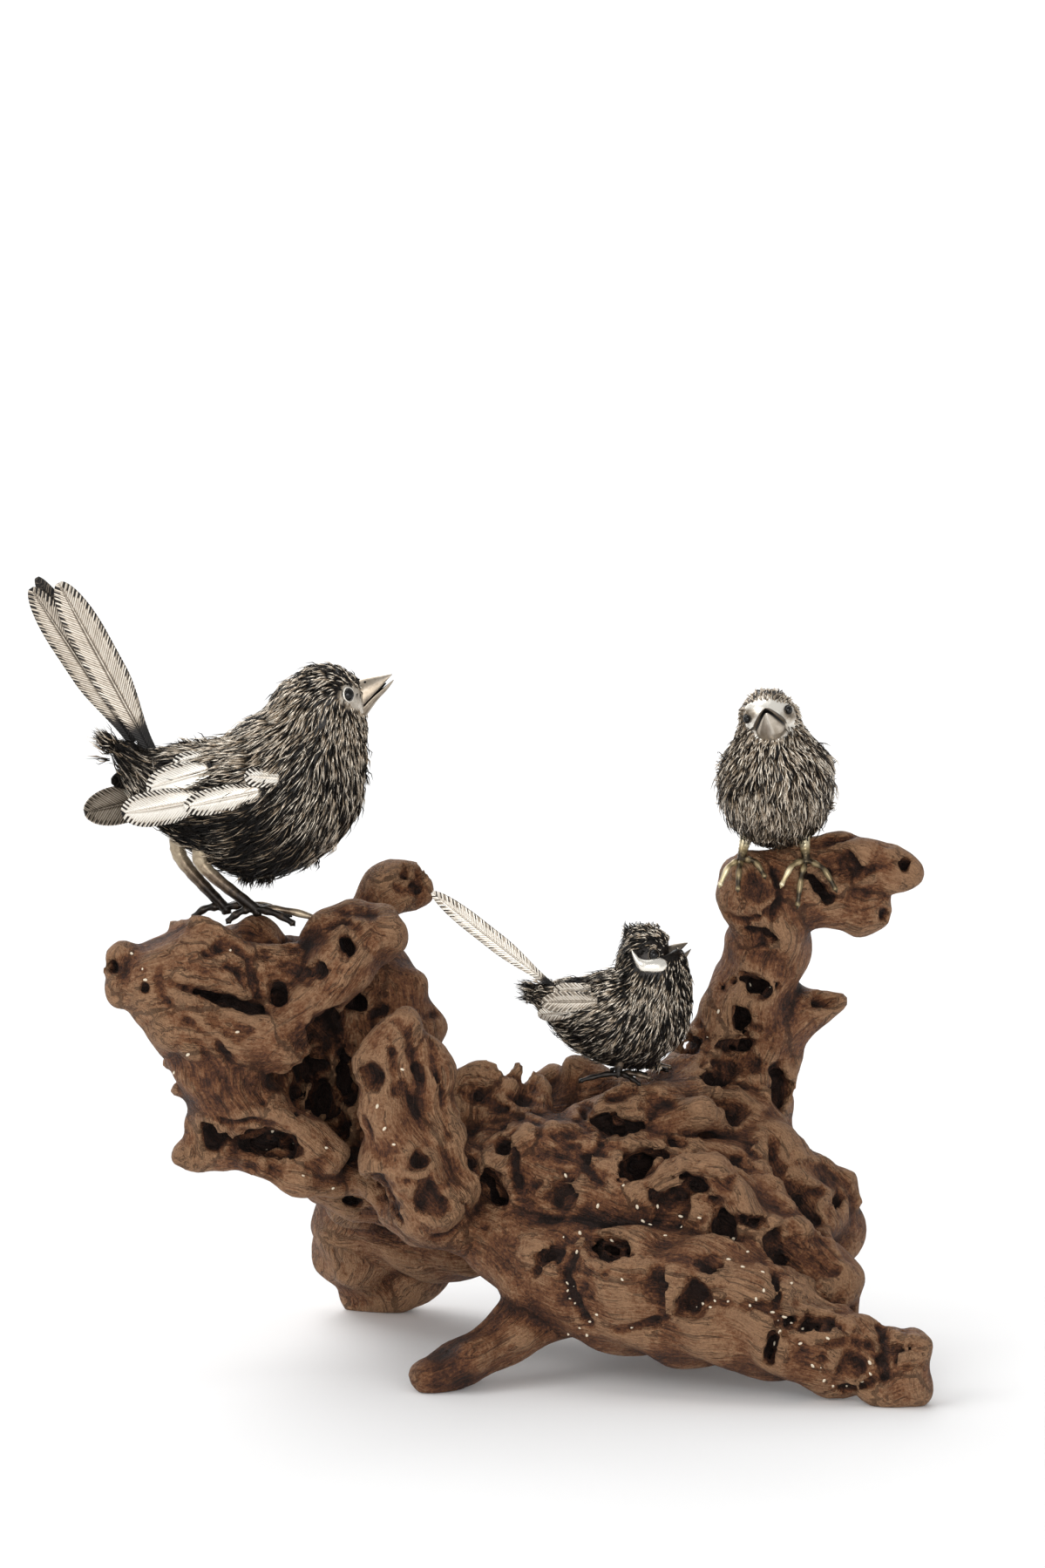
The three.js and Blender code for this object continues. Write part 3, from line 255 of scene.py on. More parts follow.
# Each limb is a chain of rounds, [x, y, z, radius] in mm, from before the middle is moved over the origin
limbs = {
    "snout": [[-104, -26, 115, 6], [-95, -26, 115, 9.6], [-84, -25, 116.5, 11.6], [-74, -24, 114.5, 10.5]],
    "snoutLip": [[-107, -28, 112.6, 3.6], [-103, -26, 119, 5], [-102, -26, 121.5, 3.6]],
    "snoutCrest": [[-91, -22, 121.5, 5], [-83, -22, 124, 6], [-75, -22, 122.5, 5.5]],
    "jaw": [[-94, -26, 107.4, 6.4], [-87, -26, 102.4, 10], [-71, -26, 99, 11], [-60, -24, 98, 10]],
    "foreArm": [[-60, -24, 98, 10], [-51, -22, 106, 9.5], [-43, -20, 115.5, 10], [-36, -18, 122.5, 9.5],
                [-28, -17, 123.5, 7], [-24, -17, 123, 3.8]],
    "armBurl": [[-49, -12, 123.4, 6.2], [-43.6, -14, 126.2, 7.4], [-37, -12, 128.2, 6.8],
                [-30, -12, 130, 5.8]],
    "crown": [[-65, -20, 115, 7.5], [-58, -16, 115.5, 7.5], [-52, -14, 114, 8]],
    "crownBack": [[-70, -2, 114, 9], [-58, 0, 113, 10], [-44, 4, 112, 10]],
    "toeLump": [[-73, 0, 120.5, 6.6], [-65, -5, 122, 7.6]],
    "neck": [[-84, -24, 104, 11], [-76, -22, 88, 12.5], [-71, -20, 76, 13.5]],
    "neckBack": [[-78, -4, 106, 11], [-68, 0, 90, 12.5], [-60, 2, 76, 12.5]],
    "backWall": [[-62, 6, 106, 10], [-52, 8, 98, 10], [-46, 12, 86, 11]],
    "footRoof": [[-76, -22, 74, 8.5], [-62, -22, 75, 8.5], [-52, -22, 69, 7.5], [-44, -22, 61, 6.5]],
    "footHeel": [[-83, -20, 69, 5.5], [-83, -20, 63, 6.2], [-88.4, -20, 62.2, 4]],
    "footFloor": [[-80, -18, 61, 5.4], [-66, -20, 60, 6], [-54, -20, 57.4, 6.8], [-45, -18, 54.4, 6.4]],
    "footBack": [[-74, -6, 68, 10], [-60, -4, 66.4, 9.6], [-46, 0, 60.6, 8.6]],
    "barbHigh": [[-87, -18, 91, 4.4], [-90, -18, 89, 3]],
    "barbLow": [[-84, -18, 82, 5], [-88, -18, 81, 3.8]],
    "knobArm": [[-45, 6, 107, 8.6], [-37, 8, 117.6, 7.4], [-30.6, 9, 127.2, 6.6], [-26.5, 9, 132.4, 6.8],
                [-22, 8, 134.4, 6.8]],
    "knobCap": [[-26, 8, 138, 4.8], [-21, 8, 137, 5.4], [-18.8, 8, 132, 5.2]],
    "backTrunk": [[-30, 20, 50, 17], [-34, 18, 68, 17], [-34, 16, 84, 16], [-33, 14, 98, 15],
                  [-32, 10, 108, 11.5]],
    "backFlank": [[-20, 4, 60, 14], [-19.6, 4, 78, 12], [-20.6, 6, 92, 11.2], [-24, 6, 106, 8.7],
                  [-28.6, 7, 113.6, 6]],
    "web": [[-46, 10, 96, 8], [-52, 8, 86, 8], [-52, 8, 74, 8], [-44, 6, 64, 9]],
    "stumpLeft": [[-24, -34, 100, 8], [-27, -36, 90, 9], [-26.5, -38, 76, 10], [-21, -38, 62, 12],
                  [-14, -36, 50, 12]],
    "stumpRight": [[-16, -32, 95, 6.6], [-14.5, -33, 86, 7.5], [-12.5, -33, 72, 8.5], [-8, -32, 58, 9.5]],
    "stumpRoot": [[-20, -20, 70, 10], [-14, -18, 56, 14], [-4, -14, 46, 15]],
    "bridge": [[-44, -14, 54, 6], [-36, -16, 53, 5], [-28, -24, 47, 5], [-20, -30, 43, 5.6],
               [-8, -32, 43, 7.5]],
    "bridgeBack": [[-46, 6, 52, 9], [-34, 8, 50, 12], [-20, 6, 48, 14], [0, 0, 46, 16]],
    "rearLeg": [[-30.6, 64, 6.5, 9.2], [-36, 57, 20, 13.5], [-33, 50, 31, 15], [-16, 45, 27, 15.5],
                [2, 38, 31, 15], [20, 26, 36, 16]],
    "hoof": [[-36, 62, 10, 7.4], [-28, 66, 5.6, 9], [-18, 60, 14, 9.5], [-6, 50, 22, 10]],
    "rearHip": [[-34.6, 34, 42, 13.4], [-30, 24, 54, 14]],
    "peg": [[21, -34, 22, 11], [8, -42, 14.8, 8.8], [-3, -49, 9.4, 7.6], [-10, -53, 5.2, 6.8],
            [-13.4, -54, 3.8, 6.4]],
    "frontLog": [[6, -26, 40, 14], [22, -36, 30, 17], [42, -46, 29.2, 18], [61.4, -53, 26.4, 19.2],
                 [82, -58, 21.5, 18], [98, -63, 15.5, 13.4], [109, -68, 10.5, 11]],
    "endKnob": [[116, -70, 11.6, 8.6], [121, -71, 12.4, 8], [122, -71, 7.6, 7.4]],
    "endFoot": [[116, -73, 4.6, 6.8], [121, -72, 6, 7.4]],
    "midLog": [[2, -14, 58, 15], [20, -20, 54, 19], [42, -24, 50, 21], [62, -26, 44, 22],
               [80, -32, 36, 19], [96, -44, 26, 15]],
    "rearLog": [[10, 10, 54, 18], [36, 14, 52, 22], [60, 14, 50, 23], [80, 8, 46, 20], [93, -6, 36, 16]],
    "rightLobe": [[91, -6, 54, 11.6], [96, -4, 46, 12.4], [96.5, -8, 34, 11]],
    "shoulder": [[70, -4, 62, 17], [81, -8, 58, 15], [89, -18, 46, 14]],
    "underBack": [[30, 40, 34, 14], [52, 44, 30, 15], [70, 36, 30, 15]],
    "crestA": [[-6, -10, 75, 6.4], [-4, -8, 81.4, 5], [2, -8, 83, 5]],
    "crestB": [[4, -12, 72, 8], [9, -8, 82, 5.8]],
    "crestC": [[14, -10, 72, 7.4], [16, -6, 78, 4.8]],
    "crestD": [[12, -28, 66, 7], [4, -30, 62, 6]],
    "crestE": [[17, 14, 72, 6.4], [20, 12, 79, 4.4]],
    "crestF": [[26, 10, 73, 7.4], [28, 8, 80.4, 5], [34, 6, 79.6, 5]],
    "crestG": [[34, 4, 74, 7], [40, 2, 77, 5.6]],
    "perch": [[30, -18, 72, 8], [40, -20, 76, 9], [50, -16, 76, 8], [60, -12, 74, 8]],
    "perchTail": [[52, -24, 73, 6], [62, -24, 74, 5.5], [67, -22, 72, 5]],
    "perchNeck": [[44, -8, 66, 14], [60, 0, 76, 12]],
    "rim": [[48, -43, 57.6, 5.4], [56, -44, 62.6, 5.6], [66, -43, 61.8, 5.4], [73, -44, 56, 5.2],
            [75, -46, 49, 5.0]],
    "branch": [[74, 12, 66, 17], [75, 14, 80, 14.4], [77, 14, 92, 14.2], [79.4, 12, 103, 12.8],
               [82.4, 10, 113, 11], [84.6, 7, 122, 11.2], [84, 4, 130, 12]],
    "branchLeft": [[64.6, 8, 88, 8.4], [67, 10, 97, 6.8]],
    "branchSpike": [[85, 12, 93, 8], [93, 12, 99.4, 6.4], [99, 12, 101.4, 4.8], [103, 12, 102, 3.4]],
    "branchBack": [[83, 12, 72, 8.6], [82, 14, 80, 7]],
    "seat": [[77, -2, 137, 9], [77.6, 0, 132, 9.6], [81, 1, 126, 8]],
    "seatBridge": [[78, 4, 138, 9], [92, 2, 138, 9], [100, 2, 140, 9]],
    "crownRight": [[94, 4, 145, 6.4], [103, 4, 146, 6.6], [110, 2, 141.6, 8.4], [118, 0, 140, 6.6],
                   [121, 0, 139.6, 5]],
    "crownDrop": [[96, 2, 132, 8.4], [105, 1, 132, 7], [110, 0, 129.4, 6.4], [113, 0, 129, 6]],
}

# Where the wood is crinkled, as met from the front: [x, height, radius, strength]
burls = [
    [6, 75, 13, 1.0], [-46, 82, 15, 1.0], [-44, 98, 9, 0.8], [-36, 127, 6, 0.8], [-20, 138, 7, 0.6],
    [28, 58, 10, 1.0], [13, 62, 8, 0.8], [5, 52, 8, 0.6], [28, 22, 9, 0.8], [36, 34, 8, 0.7],
    [60, 48, 11, 0.9], [58, 58, 8, 0.9], [71, 54, 6, 0.8], [70, 39, 7, 0.8], [96, 15, 11, 0.8],
    [85, 30, 7, 0.7], [101, 45, 8, 0.7], [118, 3, 8, 0.9], [104, -2, 7, 0.7], [75, 92, 9, 0.7],
    [60, 90, 6, 0.8], [40, 68, 10, 0.8], [112, 130, 6, 0.6], [-105, 113, 5, 0.8], [-69, 112, 6, 0.8],
    [-59, 117, 7, 0.7], [-31, 81, 5, 0.7], [-18, 58, 5, 0.8], [-14, 47, 7, 0.8], [-28, 45, 9, 0.9],
    [-63, 62, 11, 0.8], [62, 18, 8, 0.6], [70, 74, 7, 0.6], [44, 57, 7, 0.8], [-66, 120, 7, 0.6],
    [92, 60, 6, 0.5], [86, 78, 6, 0.6], [100, 141, 8, 0.35], [-27, 98, 5, 0.5], [10, 38, 6, 0.4],
    [75, 55, 7, 0.5], [85, 10, 6, 0.6],
]

# Where the wood is paler or darker than around, partly its own tone and partly painted light and shade, such
# as lighter undersides and a darker lower edge: [x, height, radius, change]
toneAndLightPatches = [
    [70, 10, 14, 0.36], [40, 9, 11, 0.2], [95, 20, 8, 0.5], [89, 62, 10, 0.26], [80, 52, 8, 0.2],
    [58, 38, 9, 0.12], [60, 63, 7, 0.4], [72, 76, 9, 0.2], [70, 92, 6, 0.1], [-26, 140, 5, 0.16],
    [-17, 134, 5, -0.3], [-89, 96, 9, 0.14], [-76, 94, 8, 0.16], [-66, 93, 7, 0.02], [-82, 76, 8, -0.12],
    [-46, 93, 9, -0.24], [-50, 78, 8, -0.16], [-24, 109, 8, -0.2], [-46, 121, 7, -0.2],
    [-66, 126, 6, -0.25], [-25, 20, 13, 0.32], [-42, 28, 10, 0.24], [-96, 99, 9, 0.28], [-2, 42, 9, 0.34],
    [-10, 66, 10, 0.26], [-50, 55, 7, 0.1], [119, 2, 9, -0.02], [92, 84, 6, 0.1], [108, 138, 9, 0.12],
    [58, 78, 6, 0.1], [40, 22, 9, 0.12], [60, 25, 10, -0.22], [2, 8, 10, -0.14], [-11, -4, 13, -0.46],
    [30, 2, 7, -0.2], [50, -2, 7, -0.32], [70, -4, 6, -0.34], [88, -6, 6, -0.2], [82, 110, 10, -0.06],
    [83, 100, 8, -0.24], [-68, 56, 9, -0.36], [-76, 68, 8, -0.16], [-13, 80, 7, -0.14], [-26, 76, 6, 0.1],
    [80, 135, 7, -0.12], [110, 147, 7, -0.2], [-95, 116, 8, -0.16], [-104, 112, 6, -0.14],
    [48, 66, 9, -0.16], [28, 34, 11, -0.2], [78, 4, 6, -0.14], [4, 72, 8, 0.16], [-21, 139, 5, 0.14],
    [45, 72, 7, 0.1], [-40, 38, 8, 0.14], [-88, 118, 8, 0.12],
]

# Hollows and holes, as met from the front: [x, height, half width, half height, depth, slope, painted shade
# inside]
pits = [
    [-105.4, 113.4, 1.7, 2.2, 5, 20, 0.9], [-96.3, 107.6, 1.3, 1.5, 3, 0, 0.7],
    [-63.5, 63, 11.5, 4.6, 13, -12, 0.75], [-77.5, 64.5, 3.6, 5.5, 5, 20, 0.3],
    [-75, 104.4, 11.6, 1.7, 8, -17, 0.95], [-66, 101.4, 4.6, 1.9, 6, -8, 0.95],
    [-58, 104.9, 3.1, 3.6, 8, 30, 0.95], [-43.6, 94.6, 7.2, 7.4, 16, 20, 0.9],
    [-50, 83.4, 5.4, 5.0, 10, -20, 0.55], [-53.4, 77.4, 2.6, 3.4, 7, 0, 0.8],
    [-46, 74.6, 5.2, 5.4, 9, 30, 0.55], [-39.6, 80, 3.4, 8, 9, 0, 0.7],
    [-42.4, 66, 3.6, 6.4, 8, -12, 0.6], [-36.6, 104, 4.4, 3.4, 7, -40, 0.6],
    [-38.6, 119.4, 2.3, 3.5, 9, 10, 0.95], [-47.5, 112.5, 3.6, 2.4, 4, 30, 0.3],
    [-18.4, 139, 2.3, 4, 5, -20, 0.7], [-22.4, 141, 1.6, 2.6, 3, -10, 0.6],
    [-31.7, 81.4, 3.9, 3.7, 3.6, 0, 0.45], [-18.6, 57.8, 3.2, 2.8, 4.6, 0, 0.7],
    [-15, 46, 6.4, 5.2, 3.6, 10, 0.4], [-27.6, 46.4, 3.8, 8.2, 11, 35, 0.6],
    [-38, 45.2, 3.2, 1.6, 6, -20, 0.7], [3, 50, 3.5, 6.6, 10, 28, 0.85],
    [-3.2, 59.2, 2.6, 4.8, 5, 6, 0.5], [5.8, 61.4, 2.3, 3.5, 5.5, 20, 0.6],
    [-5.1, 69.4, 1.7, 1.4, 4, 0, 0.8], [36.6, 32, 7.5, 3.8, 12, -8, 0.8],
    [22, 47.4, 6.4, 4, 3.6, 14, 0.3], [59.5, 51.4, 6.4, 2.4, 5, -22, 0.5],
    [55, 46.4, 6.4, 4.6, 4, -10, 0.15], [69, 38.2, 4.2, 6, 7, 22, 0.5],
    [77, 39.8, 4.4, 1.9, 6, -10, 0.75], [82.3, 3.6, 1.8, 5.8, 8, -12, 0.95],
    [85.1, 28.3, 2.9, 2.7, 8, 0, 0.95], [89, 30.4, 11, 5.4, 3.4, -22, 0.25],
    [91, 47.4, 5, 8.6, 6, 40, 0.3], [102, 45.6, 1.6, 5.6, 5, -42, 0.75], [96, 37, 5, 1.8, 4, -30, 0.4],
    [95, 11.4, 8.4, 3, 5, 0, 0.35], [100, 17.6, 7, 1.8, 4, 8, 0.4], [104.6, -1.6, 5.6, 3.6, 2.2, 22, 0.2],
    [116.5, 3.4, 4, 3.4, 2.4, 0, 0.3], [78.5, 107.9, 4.9, 3.2, 13, -6, 1.0],
    [74.2, 97.4, 3.7, 4.9, 12, 12, 1.0], [73, 90.2, 5.4, 2.4, 11, 4, 1.0],
    [73.4, 84.6, 6.6, 4.4, 3.2, 0, 0.25], [59.2, 90, 3.6, 4, 9, 10, 0.9], [85.8, 78, 3.8, 8, 8, 10, 0.7],
    [69.3, 107.1, 0.9, 0.9, 2, 0, 0.8], [97.6, 103.4, 4.6, 2.6, 5, 12, 0.7],
    [96.2, 136.8, 5.6, 2.1, 9, -48, 0.9], [121, 143.2, 2, 2, 5, 30, 0.8],
    [105, 144.6, 6.6, 4, 2.4, 10, 0.3], [115.4, 128.6, 2.4, 2, 3, 30, 0.5],
    [80.6, 122.8, 6.4, 3, 3.4, 14, 0.35], [77, 136, 6, 5, 2, 0, 0.15], [39.2, 77.2, 4.3, 3, 5, 6, 0.5],
    [38.6, 66.6, 8, 3.4, 8, -20, 0.6], [28.9, 71, 0.9, 2.4, 4, 20, 0.9], [66, 80.4, 6, 2.6, 8, -12, 0.7],
    [70, 71.6, 7, 4.6, 5, 24, 0.35], [45, 56.6, 7, 4.2, 14, 26, 0.85], [71, 57.4, 8, 5, 4.6, -24, 0.2],
    [55.3, 62.6, 3, 2.1, 3, 0, 0.45], [60.6, 18.4, 6.4, 5, 5, 14, 0.45], [66, 28, 4, 5.4, 2.2, 20, 0.1],
    [49, 20.6, 5, 6, 2.2, -10, 0.1], [20, 30, 5, 3, 3, 0, 0.3],
]

# Grooves worn along the wood, and ridges left standing: [half width, [x, height], ...]
grooves = [
    [0.9, [-89.5, 109.3], [-84, 107.8], [-79, 106.2]],
    [1.5, [-78.3, 118], [-74.2, 120], [-70.4, 119.4], [-66.6, 115.6], [-65.4, 110.2], [-64, 105]],
    [1.1, [-73, 113.4], [-69.4, 112], [-67.6, 108.6]], [0.9, [-92, 112], [-92.4, 107], [-90, 103.6]],
    [1.4, [-55.4, 121.2], [-53.4, 113.3], [-49.6, 108.8]], [1.1, [-43, 125.6], [-39, 127], [-36, 124.6]],
    [1.3, [-84, 98], [-76, 92], [-70, 84], [-63, 74]], [1.1, [-77, 97], [-70, 92], [-67, 95], [-72, 98]],
    [1.2, [-74, 68.4], [-65, 69], [-56, 66], [-51, 60.6]],
    [1.2, [-32.1, 99.4], [-28, 100.8], [-24, 98.6], [-22, 93]],
    [1.5, [-19.6, 103], [-20.8, 97], [-21, 91], [-19, 85], [-16.8, 79]],
    [1.1, [-26, 94], [-25.4, 86], [-24.8, 77]], [0.9, [-22.6, 80], [-20.6, 75], [-18.6, 70.6]],
    [0.9, [-14.6, 92], [-13.4, 84], [-11, 74], [-9.4, 64]], [1.0, [-35.5, 76], [-34, 70], [-31.8, 63.3]],
    [1.2, [-16.6, 98.8], [-13.4, 99.6]], [1.0, [-21, 51.4], [-18, 51], [-14.6, 53]],
    [0.8, [-7, 46], [-4, 42.4], [1, 38]], [1.0, [8.6, 66], [9, 58], [11.4, 51]],
    [1.2, [14.4, 50], [19, 50.6], [24, 52.2], [29.4, 55.2], [33.4, 51.4]],
    [1.1, [20.6, 64.6], [26, 61], [30, 57.4], [33, 60]], [1.2, [-1, 76], [4, 73], [10, 70.6], [16, 68.4]],
    [1.1, [3.6, 79.6], [7.4, 76], [13, 74.6]], [1.1, [10, 82], [14, 77.6], [21, 74.6]],
    [1.0, [16, 68.4], [21, 71], [27, 69.4], [31, 66]], [1.2, [29, 74], [33, 69], [34.6, 63], [41, 60.4]],
    [1.3, [14.6, 24.6], [20, 31], [25, 34.6], [30, 36], [31.6, 31]],
    [1.2, [27.6, 32], [23.8, 25], [26.6, 17], [30.8, 9.8]], [1.1, [28, 5], [37.8, 8.6], [48.3, 10.8]],
    [1.5, [49.7, 12.2], [59.5, 14.4], [66.5, 17.2], [74, 16], [82, 15.8]],
    [1.3, [82, 36], [83.8, 24], [83.4, 14.4], [86.6, 8]],
    [1.3, [97, 0.6], [98.4, 4.4], [104, 5.8], [110, 4.4], [113.6, -0.4], [110, -6], [103, -8.4]],
    [1.0, [101.6, -3.2], [104, -0.6], [107.4, 2.4]], [1.5, [113, 10], [114.4, 4], [114.6, -4]],
    [1.1, [47, 50.6], [50, 46], [50, 41], [56, 38.6]], [1.3, [94.6, 149], [99, 150.6], [105.6, 151.4]],
    [1.1, [99, 140.6], [106, 139.4], [113, 142.6], [118.6, 144]],
    [1.2, [83.2, 141], [85, 134], [83.4, 128]], [1.1, [70.6, 128.6], [75, 126.4], [82, 129.6]],
    [1.2, [-24.6, 136.8], [-20.6, 135.2], [-16.6, 136.6]],
    [1.2, [-16.4, 3.8], [-9, 6.8], [-2, 10], [6, 15]], [0.8, [-44, 30], [-40, 22], [-38, 14]],
    [0.8, [-22, 30], [-14, 35], [-6, 39]], [1.6, [83, 66], [84, 58], [88, 50], [95, 42]],
    [1.2, [62, 97], [64.6, 92], [64, 85]],
]
ridges = [
    [1.6, [-85, 104.6], [-78, 101.6], [-70, 98.4], [-62, 97.6]],
    [1.8, [-93, 101], [-84, 90.6], [-77, 80], [-70, 71.4], [-58, 69.4], [-48, 62], [-43.6, 55.6]],
    [1.6, [-58, 96], [-50, 100], [-42, 109], [-34, 116.6], [-27, 121]],
    [1.6, [-88, 125], [-82, 126.2], [-76, 124]], [1.5, [-22.6, 92], [-22, 84], [-19.4, 74], [-14, 64]],
    [1.4, [-12, 97], [-9.6, 86], [-7.4, 74], [-3.6, 66]],
    [1.3, [-38, 50.4], [-34, 41], [-27, 36.6], [-21.4, 38]],
    [1.3, [0.2, 63], [1.4, 57], [6.4, 52], [8.6, 45]],
    [1.8, [3.4, 66.4], [8, 68.4], [13.3, 68.6], [19, 66], [19, 61]],
    [1.8, [30, 74], [35, 80], [43, 81.4], [50, 77], [55, 74.4], [62, 72.6]],
    [1.6, [30.6, 70], [35, 62.6], [43, 61], [50, 66.4]],
    [1.5, [75, 37.6], [82, 38.6], [90, 38.4], [98, 34.6], [103.6, 25]],
    [1.6, [24.6, 31.4], [28, 33.6], [33, 27.6], [41, 27.4]],
    [1.6, [45, 27], [53, 24.6], [64, 25], [73, 22.4]],
    [1.3, [86.6, 11], [92, 7.4], [99, 7], [104.6, 9.6]],
    [2.2, [79, 74], [82, 64], [78.6, 55], [84, 46], [91, 38]],
    [1.6, [91, 58], [98.6, 56], [105, 51], [106.6, 44], [101.6, 38.4]],
    [1.5, [98, 134.4], [104, 137.4], [111, 141], [118, 146], [123, 142]],
    [1.6, [83, 88], [84, 80], [80, 72]],
]


sightTilt = math.radians(driftwoodShape["sightTilt"])
sightDrop = math.tan(sightTilt)
sightWay = np.array([0, math.cos(sightTilt), -math.sin(sightTilt)])


def metFromFront(points):
    # x and height at which the downward line of sight meets each point
    return points[:, 0], points[:, 2] + sightDrop * points[:, 1]


def unevenPoints(*places):
    bent = []
    for place, waves in zip(places, driftwoodShape["waves"]):
        for height, parts, phase in waves:
            angle = sum(part * axis for part, axis in zip(parts, places) if part) + phase
            place = place + height * np.sin(angle)
        bent.append(place)
    return bent


def softMin(a, b, reach):
    h = np.maximum(reach - np.abs(a - b), 0) / reach
    return np.minimum(a, b) - h * h * reach * 0.25


def stretchDistance(x, y, z, a, b):
    # Distance to one tapered stretch of a limb
    d = [b[i] - a[i] for i in range(3)]
    q = (x - a[0], y - a[1], z - a[2])
    t = np.clip((q[0] * d[0] + q[1] * d[1] + q[2] * d[2]) / sum(v * v for v in d), 0, 1)
    gap = np.sqrt((q[0] - t * d[0]) ** 2 + (q[1] - t * d[1]) ** 2 + (q[2] - t * d[2]) ** 2)
    return gap - (a[3] + (b[3] - a[3]) * t)


def boxBlur(values, reach):
    # Mean over a cube of 2 * reach + 1 cells
    for axis in range(3):
        total = np.cumsum(np.moveaxis(values, axis, 0), axis=0, dtype=np.float64)
        size = len(total)
        high = np.minimum(np.arange(size) + reach, size - 1)
        low = np.arange(size) - reach - 1
        sums = total[high] - np.where((low >= 0)[:, None, None], total[np.maximum(low, 0)], 0)
        count = high - np.maximum(low, -1)
        values = np.moveaxis((sums / count[:, None, None]).astype(np.float32), 0, axis)
    return values


def sampleGrid(values, low, cell, points):
    place = (np.asarray(points) - low) / cell
    base = np.clip(np.floor(place).astype(int), 0, np.array(values.shape) - 2)
    part = np.clip(place - base, 0, 1)
    total = 0
    for step in cubeCorners:
        weight = np.prod(np.where(step, part, 1 - part), axis=1)
        total = total + weight * values[tuple((base + step).T)]
    return total


def burlShare(points):
    # How crinkled the wood is at each point
    x, height = metFromFront(points)
    share = np.zeros(len(points))
    for atX, atHeight, radius, strength in burls:
        away = np.hypot(x - atX, height - atHeight) / radius
        share = np.maximum(share, strength * smoothStep(*driftwoodShape["burlEdge"], away))
    return share


def toneAndLightShift(points):
    # How much paler the wood is at each point, from its own tone and from painted light and shade
    x, height = metFromFront(points)
    outer, inner = driftwoodShape["toneEdge"]
    total = np.zeros(len(points))
    for atX, atHeight, radius, change in toneAndLightPatches:
        away = np.hypot(x - atX, height - atHeight)
        total += change * smoothStep(radius * outer, radius * inner, away)
    return total


